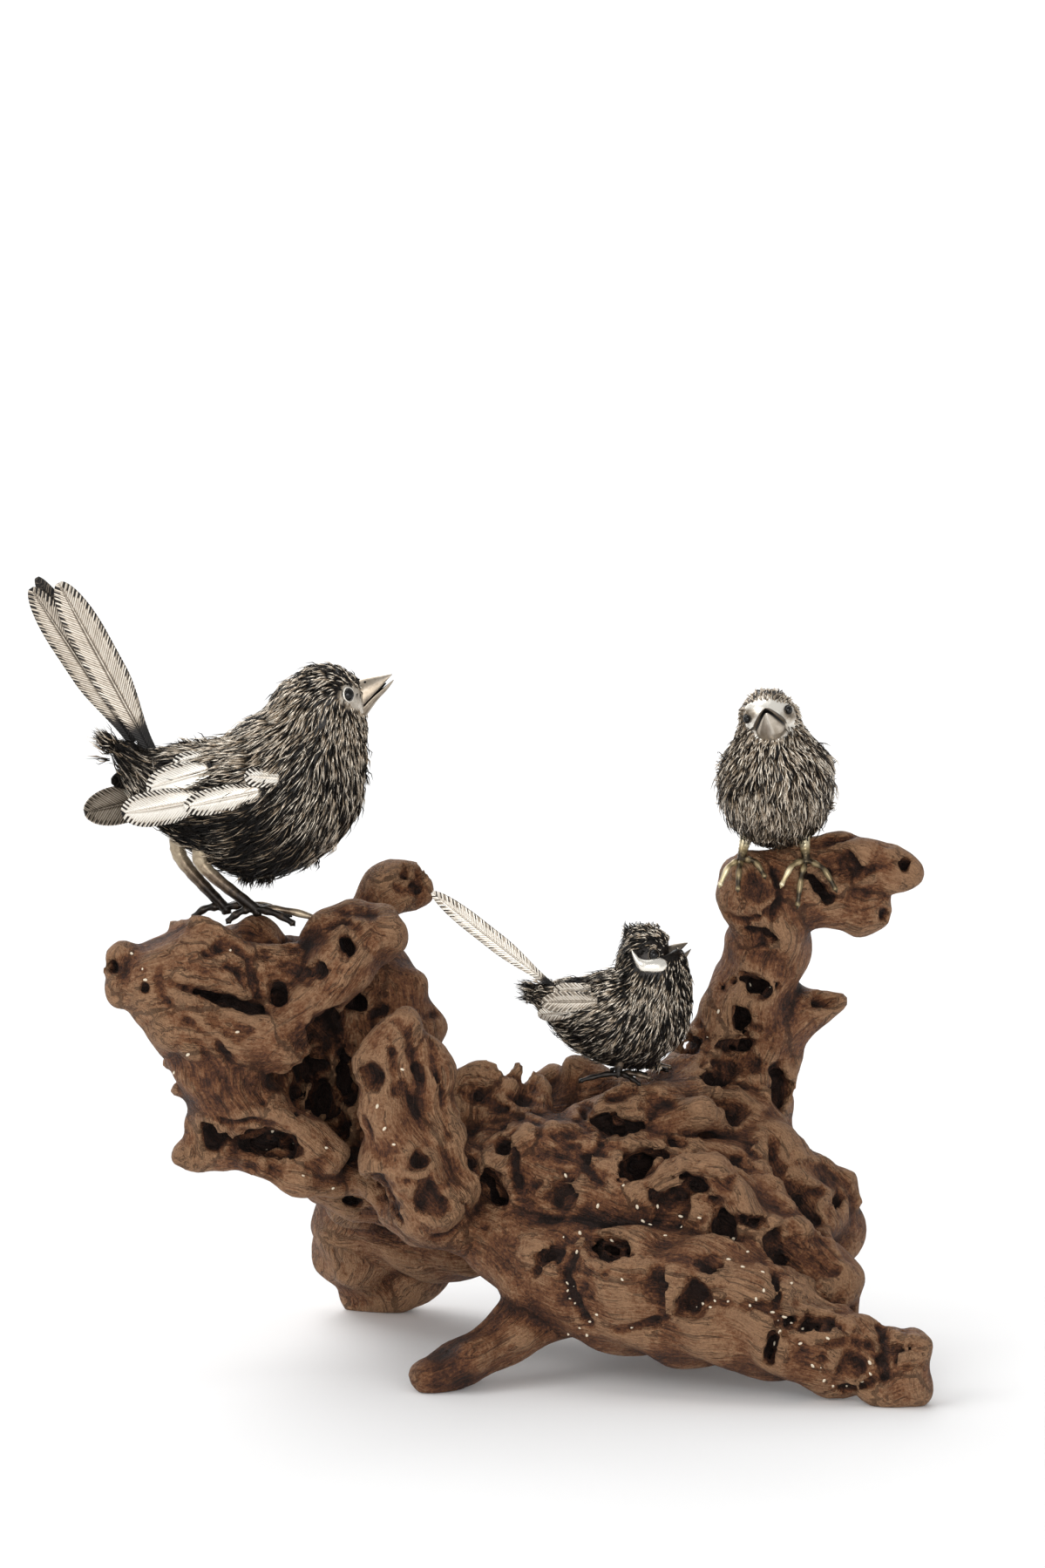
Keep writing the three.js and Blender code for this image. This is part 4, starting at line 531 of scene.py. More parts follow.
class WoodField:
    # Signed distance to the driftwood on a grid: below zero inside the wood
    def __init__(self, shape, limbs):
        self.shape = shape
        self.cell = shape["cell"]
        self.low = np.array(shape["low"])
        self.count = np.ceil((np.array(shape["high"]) - self.low) / self.cell).astype(int) + 1
        self.axes = [self.low[i] + self.cell * np.arange(self.count[i]) for i in range(3)]
        grid = np.meshgrid(*[a.astype(np.float32) for a in self.axes], indexing="ij", sparse=True)
        warped = [w.astype(np.float32) for w in unevenPoints(*grid)]
        farAway = 60.0
        self.value = np.full(self.count, farAway, np.float32)
        for rounds in limbs.values():
            for a, b in zip(rounds, rounds[1:]):
                reach = max(a[3], b[3]) + shape["blendReach"] + shape["waveReach"]
                part = self.around(a[:3], b[:3], reach)
                gap = stretchDistance(*[w[part] for w in warped], a, b)
                self.value[part] = softMin(self.value[part], gap, shape["blendReach"])
        self.value += shape["barkLoss"]

    def around(self, a, b, reach):
        # Slices of the grid that hold both points and the space within reach of them
        low, high = np.minimum(a, b) - reach, np.maximum(a, b) + reach
        first = np.maximum(((low - self.low) / self.cell).astype(int), 0)
        last = np.minimum(((high - self.low) / self.cell).astype(int) + 2, self.count)
        return tuple(slice(i, j) for i, j in zip(first, last))

    def roughen(self, lumps, crinkles):
        near = np.abs(self.value) < 4
        spots = np.argwhere(near) * self.cell + self.low
        change = 0
        for seed, (cell, height) in enumerate(lumps, 3):
            change = change + height * latticeNoise(spots, cell, seed)
        amount = burlShare(spots)
        inside = amount > 0
        folds = 0
        for seed, (cell, height) in enumerate(crinkles, 13):
            fold = self.shape["crinkleLevel"] - np.abs(latticeNoise(spots[inside], cell, seed))
            folds = folds + height * fold
        change[inside] -= amount[inside] * folds
        self.value[near] += change

    def firstHit(self, x, height):
        # Where the downward line of sight through (x, height) first meets the wood
        y = np.arange(self.low[1], self.axes[1][-1], 0.5)
        line = np.stack([np.full_like(y, x), y, height - sightDrop * y], 1)
        inside = sampleGrid(self.value, self.low, self.cell, line) < 0
        return line[np.argmax(inside)] if inside.any() else None

    def placePits(self, pits):
        placed = []
        for x, height, halfWidth, halfHeight, depth, slope, paintedShade in pits:
            spot = self.firstHit(x, height)
            if spot is None:
                continue
            angle = math.radians(slope)
            across = np.array([math.cos(angle), 0, math.sin(angle)])
            up = np.cross(across, sightWay)
            up /= np.linalg.norm(up)
            across -= sightWay * (across @ sightWay)
            across /= np.linalg.norm(across)
            centre = spot + sightWay * depth * 0.15
            placed.append((centre, across, up, halfWidth, halfHeight, depth, paintedShade))
        return placed

    def pitMeasure(self, points, pit):
        # Below one inside the hollow, whose outline wavers
        centre, across, up, halfWidth, halfHeight, depth = pit[:6]
        q = points - centre
        e = np.sqrt((q @ across / halfWidth) ** 2 + (q @ up / halfHeight) ** 2
                    + (q @ sightWay / depth) ** 2)
        narrow = min(halfWidth, halfHeight)
        waver = latticeNoise(q + centre * 3, narrow * 1.1, 11) + 0.6 * latticeNoise(q, narrow * 0.5, 12)
        return e + self.shape["waver"] * waver

    def gridPoints(self, part):
        return np.stack(np.meshgrid(*[a[s] for a, s in zip(self.axes, part)], indexing="ij"), -1)

    def carve(self, placed):
        for pit in placed:
            narrow = min(pit[3:6])
            reach = max(pit[3:6]) * 1.5 + self.shape["pitBlend"] + self.cell
            part = self.around(pit[0], pit[0], reach)
            points = self.gridPoints(part)
            e = self.pitMeasure(points.reshape(-1, 3), pit).reshape(points.shape[:3])
            rim = self.shape["rimHeight"] * min(1, narrow / 4) * np.exp(-((e - 1.3) / 0.22) ** 2)
            value = self.value[part] - rim
            self.value[part] = -softMin(-value, (e - 1) * narrow, self.shape["pitBlend"])

    def score(self, lines, raised):
        # Grooves and ridges follow the surface as it is met from the front
        softness = self.shape["scoreBlend"]
        swing, length = self.shape["lineWaver"]
        for halfWidth, *spots in lines:
            hits = [self.firstHit(x, height) for x, height in spots]
            for a, b in zip(hits, hits[1:]):
                if a is None or b is None or np.linalg.norm(a - b) > self.shape["longestStep"]:
                    continue
                sink = sightWay * halfWidth * (self.shape["ridgeSink"] if raised else 0.0)
                a, b = np.append(a + sink, halfWidth), np.append(b + sink, halfWidth)
                part = self.around(a[:3], b[:3], halfWidth + 2 * softness + self.cell)
                points = self.gridPoints(part).astype(np.float32)
                waver = swing * halfWidth * latticeNoise(points.reshape(-1, 3), length, 21)
                gap = stretchDistance(*np.moveaxis(points, -1, 0), a, b) + waver.reshape(points.shape[:3])
                if raised:
                    self.value[part] = softMin(self.value[part], gap, softness * 2)
                else:
                    self.value[part] = -softMin(-self.value[part], gap, softness)

    def facets(self):
        # Surface nets: one corner in each cell that the surface crosses
        value = self.value
        value[[0, -1]] = value[:, [0, -1]] = value[:, :, [0, -1]] = 5.0
        inside = value < 0
        total = np.zeros(np.array(value.shape) - 1, np.int8)
        for corner in cubeCorners:
            total += inside[tuple(slice(s, s + size) for s, size in zip(corner, total.shape))]
        cells = np.argwhere((total > 0) & (total < 8))
        number = np.full(total.shape, -1, np.int32)
        number[tuple(cells.T)] = np.arange(len(cells))
        at = [value[tuple((cells + corner).T)] for corner in cubeCorners]
        spot = np.zeros((len(cells), 3))
        crossings = np.zeros(len(cells))
        for a in range(8):
            for step in (1, 2, 4):
                if a & step:
                    continue
                va, vb = at[a], at[a | step]
                crossed = (va < 0) != (vb < 0)
                t = np.where(crossed, va / np.where(crossed, va - vb, 1), 0)
                start = cubeCorners[a].astype(float)
                way = cubeCorners[a | step] - start
                spot += crossed[:, None] * (start + way * t[:, None])
                crossings += crossed
        points = self.low + (cells + spot / crossings[:, None]) * self.cell
        faces = []
        steps = np.eye(3, dtype=int)
        for axis in range(3):
            u, w = steps[axis - 2], steps[axis - 1]
            edge = np.argwhere(np.diff(inside, axis=axis) != 0)
            edge = edge[(edge > 0).all(1)]
            here = inside[tuple(edge.T)]
            quad = np.stack([number[tuple((edge - back).T)] for back in (0 * u, u, u + w, w)], 1)
            quad[~here] = quad[~here][:, ::-1]
            faces.append(quad)
        return points, np.concatenate(faces)


def largestPiece(points, faces):
    # Leaves out loose crumbs
    label = np.arange(len(points))
    while True:
        low = label[faces].min(1)
        new = label.copy()
        for k in range(faces.shape[1]):
            np.minimum.at(new, faces[:, k], low)
        new = new[new]
        if (new == label).all():
            break
        label = new
    names, sizes = np.unique(label, return_counts=True)
    keep = label == names[sizes.argmax()]
    number = np.cumsum(keep) - 1
    return points[keep], number[faces[keep[faces[:, 0]]]]


def grainCoordinates(points, limbs):
    # For each point, places along and across its nearest limb and the next nearest, and how much of the
    # next one shows there
    x, y, z = unevenPoints(*points.T)
    best = np.full((2, len(points)), 1e9)
    grain = np.zeros((2, len(points), 3))
    apart = np.array([37.0, 17.0, 91.0])  # keeps two limbs from showing the same pattern
    for order, rounds in enumerate(limbs.values()):
        side = np.array([0.31, 0.83, 0.46])
        run = 0.0
        gapHere = np.full(len(points), 1e9)
        grainHere = np.zeros((len(points), 3))
        for a, b in zip(rounds, rounds[1:]):
            gap = stretchDistance(x, y, z, a, b)
            way = np.array(b[:3], float) - a[:3]
            length = np.linalg.norm(way)
            way /= length
            side = side - way * (side @ way)
            side /= np.linalg.norm(side)
            out = np.stack([x - a[0], y - a[1], z - a[2]], 1)
            spot = np.stack([out @ side, out @ np.cross(way, side), out @ way + run], 1)
            nearer = gap < gapHere
            gapHere = np.where(nearer, gap, gapHere)
            grainHere[nearer] = spot[nearer]
            run += length
        grainHere += order * apart
        first = gapHere < best[0]
        second = ~first & (gapHere < best[1])
        best[1][first], grain[1][first] = best[0][first], grain[0][first]
        best[0][first], grain[0][first] = gapHere[first], grainHere[first]
        best[1][second], grain[1][second] = gapHere[second], grainHere[second]
    between = 0.5 * np.exp(-np.maximum(best[1] - best[0], 0) / driftwoodShape["grainBlend"])
    return grain[0], grain[1], between


def thinOut(piece, mostTriangles):
    # Fewer facets where the surface is flat
    count = len(piece.data.polygons) * 2
    if count <= mostTriangles:
        return
    modifier = piece.modifiers.new("thin", "DECIMATE")
    modifier.ratio = mostTriangles / count
    shown = piece.evaluated_get(bpy.context.evaluated_depsgraph_get())
    mesh = bpy.data.meshes.new_from_object(shown)
    piece.modifiers.clear()
    piece.data = mesh
    mesh.shade_smooth()


def makeDriftwood(shape, material):
    field = WoodField(shape, limbs)
    field.roughen(shape["lumps"], shape["crinkles"])
    placed = field.placePits(pits)
    field.score(ridges, raised=True)
    field.score(grooves, raised=False)
    field.carve(placed)
    np.maximum(field.value, -field.axes[2].astype(np.float32), out=field.value)
    points, faces = largestPiece(*field.facets())
    points[:, 2] = np.maximum(points[:, 2], 0)
    piece = meshObject("driftwood_worn", points + shape["middle"], faces, [material])
    thinOut(piece, shape["mostTriangles"])
    points = pointsOf(piece) - shape["middle"]
    # painted shade inside the hollows, strongest deep in each pit
    hollow = np.zeros(len(points))
    for pit in placed:
        inside = smoothStep(*shape["hollowEdge"], field.pitMeasure(points, pit))
        hollow = np.maximum(hollow, pit[6] * inside)
    values = {"hollow": hollow, "burl": burlShare(points), "toneAndLight": toneAndLightShift(points)}
    values["grainA"], values["grainB"], values["between"] = grainCoordinates(points, limbs)
    clipped = np.clip(field.value, -shape["cell"], shape["cell"]) / shape["cell"]
    for name, reach in shape["curves"].items():
        blurred = boxBlur(clipped, max(1, round(reach / shape["cell"])))
        values[name] = sampleGrid(blurred, field.low, field.cell, points)
    for name, value in values.items():
        setAttribute(piece, name, value)
    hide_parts("driftwood")
    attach(piece, "root")
    print("stage: driftwood,", sum(len(p.vertices) - 2 for p in piece.data.polygons), "triangles")
    return field


woodLook = {
    # colours, and how pale the wood has to be for each of them
    "dark": "#25150e",
    "brown": "#4e2d1c",
    "tan": "#774c2f",
    "pale": "#a57e5d",
    # painted shade deep in holes
    "shadeInHoles": "#140b07",
    "stops": {"dark": 0.04, "brown": 0.34, "tan": 0.59, "pale": 0.94},
    # how pale plain wood is, and how much each pattern adds: pale on worn ridges, and painted shade
    # darkening the creases
    "plain": 0.49,
    "broadCurve": 0.6,
    "patterns": {"fineCurve": 1.1, "waver": 0.35, "stain": 0.5, "lines": 0.9, "mottle": 0.55, "grit": 1.0},
    "burl": -0.06,
    "pore": -0.3,
    "grainOnWorn": 0.8,  # brown grain on worn pale wood
    "crackShade": 0.4,
    "hollowDarkness": 0.55,
    # how far each pattern stands out in the relief
    "relief": {"mottle": 1.0, "grit": 0.5, "cracks": -0.7, "pore": -1.6},
    "bump": 1.0,
    "bumpDistance": 0.0018,
    "roughness": 0.66,
    "specular": 0.3,
}


def fibreGroup():
    # Fibres that run along a limb: colour waver, fine lines and short cracks
    group, source, sink = newGroup(
        "woodFibre",
        [("Place", "NodeSocketVector", None)],
        [("Waver", "NodeSocketFloat"), ("Lines", "NodeSocketFloat"), ("Cracks", "NodeSocketFloat")],
    )

    def streak(scale, stretch, detail, distortion):
        squeezed = {0: source.outputs["Place"], 1: (scale, scale, scale / stretch)}
        squeeze = addNode(group, "ShaderNodeVectorMath", squeezed, operation="MULTIPLY")
        return noiseNode(group, 1.0, detail, 0.6, distortion, squeeze.outputs[0])["Fac"]

    black, white = (0, 0, 0, 1), (1, 1, 1, 1)
    stops = [(0.0, black), (0.36, black), (0.40, white), (0.44, black)]
    feed(group, sink, {
        "Waver": streak(0.16, 4, 3, 0.4),
        "Lines": streak(1.5, 11, 4, 0.3),
        "Cracks": rampNode(group, streak(0.42, 10, 2, 0.8), stops),
    })
    return group


def woodMaterial(look):
    material, tree, shader = newMaterial("drift_wood")
    fibre = fibreGroup()
    sides = []
    for name in ("grainA", "grainB"):
        values = {"Place": attributeOf(tree, name, "Vector")}
        sides.append(addNode(tree, "ShaderNodeGroup", values, node_tree=fibre).outputs)
    between = attributeOf(tree, "between")
    waver, lines, cracks = (mixValue(tree, between, sides[0][key], sides[1][key])
                            for key in ("Waver", "Lines", "Cracks"))
    place = addNode(tree, "ShaderNodeTexCoord").outputs["Object"]
    stain = noiseNode(tree, 55.0, 4.0, 0.6, place=place)["Fac"]
    mottle = noiseNode(tree, 420.0, 3.0, 0.65, place=place)
    grit = noiseNode(tree, 1100.0, 4.0, 0.7, place=place)["Fac"]
    # rounded pores in the crinkled wood
    burl = attributeOf(tree, "burl")
    shift = {0: mottle["Color"], 1: (0.0022, 0.0022, 0.0022), 2: place}
    moved = addNode(tree, "ShaderNodeVectorMath", shift, operation="MULTIPLY_ADD").outputs[0]
    cells = addNode(tree, "ShaderNodeTexVoronoi", {"Scale": 300.0, "Vector": moved}).outputs["Distance"]
    pore = scaled(tree, scaled(tree, cells, -2.4, 1.0, clamp=True), burl)
    sources = {
        "fineCurve": attributeOf(tree, "fineCurve"), "waver": waver, "stain": stain, "lines": lines,
        "mottle": mottle["Fac"], "grit": grit, "cracks": cracks, "pore": pore,
    }
    # the curves make bulges paler, as wear, and hollows darker, as painted shade
    height = scaled(tree, attributeOf(tree, "broadCurve"), look["broadCurve"], look["plain"])
    for name, strength in look["patterns"].items():
        offset = 0.0 if name == "fineCurve" else -strength / 2
        height = mathNode(tree, "ADD", height, scaled(tree, sources[name], strength, offset))
    height = scaled(tree, burl, look["burl"], height)
    height = scaled(tree, pore, look["pore"], height)
    # paler or darker patches: the wood's own tone, and painted light and shade
    height = mathNode(tree, "ADD", height, attributeOf(tree, "toneAndLight"))
    ramp = rampNode(tree, height, [(stop, colourOf(look[name])) for name, stop in look["stops"].items()])
    # worn pale wood still shows its grain
    worn = scaled(tree, height, 2.4, -1.2, clamp=True)
    grain = scaled(tree, lines, -1.1, 0.75, clamp=True)
    speckle = scaled(tree, grit, -3.0, 1.55, clamp=True)
    grain = scaled(tree, scaled(tree, speckle, 0.6, grain, clamp=True), worn)
    colour = mixColour(tree, scaled(tree, grain, look["grainOnWorn"]), ramp, colourOf(look["brown"]))
    # painted shade in the fine cracks
    colour = mixColour(tree, scaled(tree, cracks, look["crackShade"]), colour, colourOf(look["dark"]))
    # painted shade in the hollows
    shadow = scaled(tree, attributeOf(tree, "hollow"), look["hollowDarkness"])
    relief = lines
    for name, strength in look["relief"].items():
        relief = scaled(tree, sources[name], strength, relief)
    feed(tree, shader, {
        "Base Color": mixColour(tree, shadow, colour, colourOf(look["shadeInHoles"])),
        "Normal": bumpNode(tree, relief, look["bump"], look["bumpDistance"]),
        "Roughness": look["roughness"],
        "Specular IOR Level": look["specular"],
    })
    return material


woodField = makeDriftwood(driftwoodShape, woodMaterial(woodLook))


# Silver finishes

silverLook = {
    "bright": "#f1ece2",
    "warm": "#a89a88",
    "dark": "#2a2420",
    "black": "#090807",
    "roughness": 0.38,  # of black metal
    "brightSmoother": 0.14,  # how much smoother bright metal is
}


def tarnishAndShadeGroup():
    # Metal colour from shade 0, black, to shade 1, bright: it goes dark where nothing rubs it, and it also
    # carries painted shade and highlights where the pieces paint them
    group, source, sink = newGroup(
        "tarnishAndPaintedShade",
        [("Shade", "NodeSocketFloat", 0.5), ("Bright", "NodeSocketColor", (1, 1, 1, 1)),
         ("Warm", "NodeSocketColor", (1, 1, 1, 1)), ("Dark", "NodeSocketColor", (0, 0, 0, 1)),
         ("Grain", "NodeSocketFloat", 900.0), ("Mottle", "NodeSocketFloat", 0.3)],
        [("Color", "NodeSocketColor"), ("Roughness", "NodeSocketFloat"), ("Relief", "NodeSocketFloat")],
    )
    place = addNode(group, "ShaderNodeTexCoord").outputs["Object"]
    given = source.outputs
    noise = noiseNode(group, given["Grain"], 3.0, 0.6, place=place)["Fac"]
    spread = mathNode(group, "SUBTRACT", noise, 0.5)
    shade = scaled(group, spread, given["Mottle"], given["Shade"], clamp=True)
    # black turns dark below 0.31, dark turns warm from 0.23 to 0.62, warm turns bright from 0.5
    black = colourOf(silverLook["black"])
    low = mixColour(group, scaled(group, shade, 3.2, clamp=True), black, given["Dark"])
    high = mixColour(group, scaled(group, shade, 2.0, -1.0, clamp=True), given["Warm"], given["Bright"])
    feed(group, sink, {
        "Color": mixColour(group, scaled(group, shade, 2.6, -0.6, clamp=True), low, high),
        "Roughness": scaled(group, shade, -silverLook["brightSmoother"], silverLook["roughness"]),
        "Relief": noise,
    })
    return group


tarnishAndShade = tarnishAndShadeGroup()


def metalMaterial(name, look):
    # look: grain, mottle, metallic, bump and the colours that differ from silver
    material, tree, shader = newMaterial(name)
    values = {"Grain": look["grain"], "Mottle": look["mottle"], "Shade": attributeOf(tree, "shade")}
    for part in ("bright", "warm", "dark"):
        values[part.capitalize()] = colourOf(look.get(part, silverLook[part]))
    metal = addNode(tree, "ShaderNodeGroup", values, node_tree=tarnishAndShade).outputs
    feed(tree, shader, {
        "Base Color": metal["Color"],
        "Roughness": metal["Roughness"],
        "Normal": bumpNode(tree, metal["Relief"], look["bump"], 0.0002),
        "Metallic": look["metallic"],
    })
    return material


metalLooks = {
    "skin_silver": {"grain": 900.0, "mottle": 0.6, "metallic": 0.6, "bump": 0.4},
    "wire_silver": {"grain": 500.0, "mottle": 0.3, "metallic": 0.55, "bump": 0.0,
                    "bright": "#f4e9d8", "warm": "#a08b72", "dark": "#2b221a"},
    "plate_silver": {"grain": 1100.0, "mottle": 0.22, "metallic": 0.5, "bump": 0.1},
    "beak_silver": {"grain": 500.0, "mottle": 0.25, "metallic": 0.8, "bump": 0.15},
    "leg_bronze": {"grain": 700.0, "mottle": 0.5, "metallic": 0.55, "bump": 0.3,
                   "bright": "#cfc0a4", "warm": "#776552", "dark": "#2b221b"},
    "leg_brass": {"grain": 700.0, "mottle": 0.4, "metallic": 0.55, "bump": 0.25,
                  "bright": "#e6dcbc", "warm": "#b09c74", "dark": "#3d3222"},
}
eyeLook = {"colour": "#030303", "sheen": "#0b0806", "roughness": 0.08, "smudges": 0.06, "specular": 0.35}

metals = {name: metalMaterial(name, look) for name, look in metalLooks.items()}


def eyeMaterial(look):
    material, tree, shader = newMaterial("eye_black")
    noise = noiseNode(tree, 1500.0, 1.0)["Fac"]
    feed(tree, shader, {
        "Base Color": mixColour(tree, noise, colourOf(look["colour"]), colourOf(look["sheen"])),
        "Roughness": scaled(tree, noise, look["smudges"], look["roughness"]),
        "Specular IOR Level": look["specular"],
    })
    return material


metals["eye_black"] = eyeMaterial(eyeLook)


# Birds. Positions are in each bird's own frame in mm: x forward, z up, from its perch. Places marked
# "seen" are as the photo shows them, [x, z], on the side that it shows.

grownBird = {
    "name": "grown_bird",
    "slot": "dark_plume",
    "perch": (-67, -5, 128.4),
    "heading": 0,
    "near": 5,  # how far the middle of the bird stands in front of the middle of the wood
    "seenSlope": 1,
    # wire-plumed body: [x, z, half height, half width, shift]
    "body": [
        [-37.5, 50.5, 1.2, 1.2], [-33, 46.2, 4.0, 3.6], [-26, 40.8, 9.6, 8.4], [-13, 36.2, 15.4, 14.0],
        [0, 34.1, 20.8, 17.6], [9.1, 36.2, 20.6, 18.1], [14, 44.5, 20.2, 16.2], [18.4, 53.5, 15.5, 13.2],
        [20.4, 60.8, 13.4, 11.2], [21.6, 66.4, 11.6, 10.0], [21.6, 70.4, 8.0, 7.6],
    ],
    "wires": 17000,
    "wirePoints": 3,
    "wireRadius": 0.17,
    "stray": 0.15,  # how far neighbouring wires stray from one way
    "curl": 0.1,
    "lift": 1.15,
    "flare": 0.0,
    "brightShare": 0.37,
    "paleness": 0.0,  # shade that every dark wire has more
    # seen ways that the wires lie: [x, z, along x, along z, length]
    "combs": [
        [29, 68.5, -0.75, 0.5, 2.4], [33, 60.5, -0.3, -0.9, 2.4], [22, 72.5, -0.95, -0.1, 3.4],
        [21, 65.5, -0.75, -0.65, 3.6], [11, 64.5, -0.7, -0.7, 4.4], [5, 57.5, -0.8, -0.6, 5.4],
        [-5, 52.5, -0.97, -0.15, 6], [-8, 45.5, -0.95, -0.25, 6], [-21, 48.5, -1, 0.05, 6],
        [17, 57.5, -0.5, -0.87, 5], [12, 47.5, -0.6, -0.8, 6], [9, 37.5, -0.75, -0.66, 6.5],
        [-5, 39.5, -0.97, -0.2, 6], [31, 57.5, 0, -1, 3.4], [25, 59.5, -0.25, -0.97, 3.6],
        [30, 44.5, -0.05, -1, 5.6], [25, 37.5, -0.2, -0.98, 6], [22, 27.5, -0.4, -0.92, 6.5],
        [17, 19.5, -0.6, -0.8, 7.5], [7, 22.5, -0.85, -0.5, 7.5], [2, 13.5, -0.85, -0.5, 9],
        [-8, 22.5, -0.95, -0.25, 7], [-15, 25.5, -0.92, -0.1, 6.5], [-23, 32.5, -0.9, 0.3, 6.5],
        [-30, 40.5, -0.75, 0.65, 8], [-40, 50.5, -0.8, 0.55, 10],
    ],
    # seen round places, [x, z, radius]: painted shade on bare skin, skin without wires, darker wires,
    # brighter wires
    "shaded": [[25.4, 66.0, 1.4], [33.0, 66.4, 1.0]],
    "bare": [[29.2, 64.0, 2.5], [32.4, 62.6, 2.8], [34.2, 58.4, 1.4]],
    "darkerWires": [[-33, 44, 7], [-20, 28, 6], [2, 12, 8], [14, 18, 7], [4, 26, 8], [-10, 24, 6]],
    "brighterWires": [[27, 51, 6.5], [16, 60, 8], [30, 60, 4], [-4, 49, 8], [8, 50, 7]],
    "skinShine": 0.66,
    "capHeight": 0.3,
    # loose bristles: [middle, reach of their roots, way, length, how many]
    "tufts": [
        [(-38.5, 0, 49.6), (3.4, 2.6, 3.4), (-0.8, 0, 0.62), 7.5, 230],
        [(-31, 0, 45), (6, 4, 4), (-0.75, 0, 0.6), 8, 300],
        [(-40, 0, 46), (0.6, 0.6, 0.6), (-1, 0, 0.05), 7, 7],
        [(-14, 0, 50.5), (10, 6, 1), (-0.8, 0, 0.35), 4, 70],
        [(3, 0, 14.5), (9, 8, 1.6), (-0.3, 0, -0.95), 5.5, 420],
        [(17, 0, 20), (6, 8, 4), (-0.1, 0, -1), 5, 160],
        [(33.5, 0, 46), (0.8, 8, 9), (0.15, 0, -1), 4.5, 60],
    ],
}

crestedChick = {
    "name": "crested_chick",
    "slot": "dark_plume",
    "perch": (42, -12, 84.1),
    "heading": 0,
    "near": 12,
    "seenSlope": 1,
    "body": [
        [-28.5, 23.6, 1.2, 1.2], [-24.5, 22.8, 3.2, 3.2], [-19, 20.8, 6.6, 6.2], [-12, 18.2, 10.8, 9.6],
        [-4, 17, 13.4, 12.2], [3.2, 17.8, 13.4, 12.4], [6.0, 24.5, 11.8, 10.8], [6.0, 29.8, 11.0, 9.5],
        [5.6, 32.8, 10.4, 9.0], [4.9, 35.0, 7.9, 8.2], [5.0, 37.4, 6.6, 7.6], [5.4, 41.0, 6.0, 6.0],
    ],
    "wires": 13200,
    "wirePoints": 3,
    "wireRadius": 0.15,
    "stray": 0.16,
    "curl": 0.1,
    "lift": 1.0,
    "flare": 0.0,
    "brightShare": 0.31,
    "paleness": 0.0,
    "combs": [
        [12, 38, -0.8, 0.5, 1.4], [13, 33.5, -0.7, -0.6, 1.3], [14.5, 30.5, -0.3, -0.95, 2],
        [6, 40, -0.98, 0.05, 2.6], [1, 38, -0.9, -0.3, 3], [2, 32, -0.7, -0.7, 3.2],
        [-3, 27, -0.7, -0.7, 4], [-10, 24.5, -0.95, -0.2, 4.4], [-18, 24, -1, 0, 4.4],
        [-30, 22, -1, 0.1, 5], [5, 25, -0.35, -0.94, 4], [13, 28, 0, -1, 3], [16, 20, 0.05, -1, 4],
        [14, 12, -0.15, -1, 4.6], [6, 16, -0.35, -0.94, 4.6], [0, 10, -0.6, -0.8, 5],
        [-8, 14, -0.92, -0.4, 5], [-16, 12, -0.95, -0.3, 4.6], [-22, 16, -0.95, 0.1, 4.4],
        [6, 3, -0.5, -0.86, 4.6],
    ],
    "shaded": [],
    "bare": [[3.4, 30.2, 1.9], [5.6, 29.8, 1.9], [7.8, 29.7, 1.9], [9.6, 29.8, 1.6], [1.8, 32, 1.0],
             [6.8, 32.8, 2.3], [12.2, 34.0, 2.6], [4.4, 32.6, 1.2]],
    "darkerWires": [[5.4, 33.2, 2.6], [0, 1, 5]],
    "brighterWires": [[7, 22, 6], [-6, 20, 4], [10, 36.5, 2.4]],
    "skinShine": 0.1,
    "capHeight": 0.22,
    "tufts": [[(-25.6, 0, 24), (5.6, 5, 5), (-0.95, 0, 0.15), 5, 240],
              [(-18, 0, 25), (8, 5, 2), (-0.8, 0, 0.5), 3.6, 120],
              [(0.4, 0, 41), (3, 5, 3), (-0.55, 0, 0.85), 2.4, 110],
              [(5, 0, 43), (8, 5, 0.6), (-0.6, 0, 0.6), 1.6, 70],
              [(4, 0, 4), (10, 10, 1), (-0.3, 0, -0.9), 3, 240]],
}

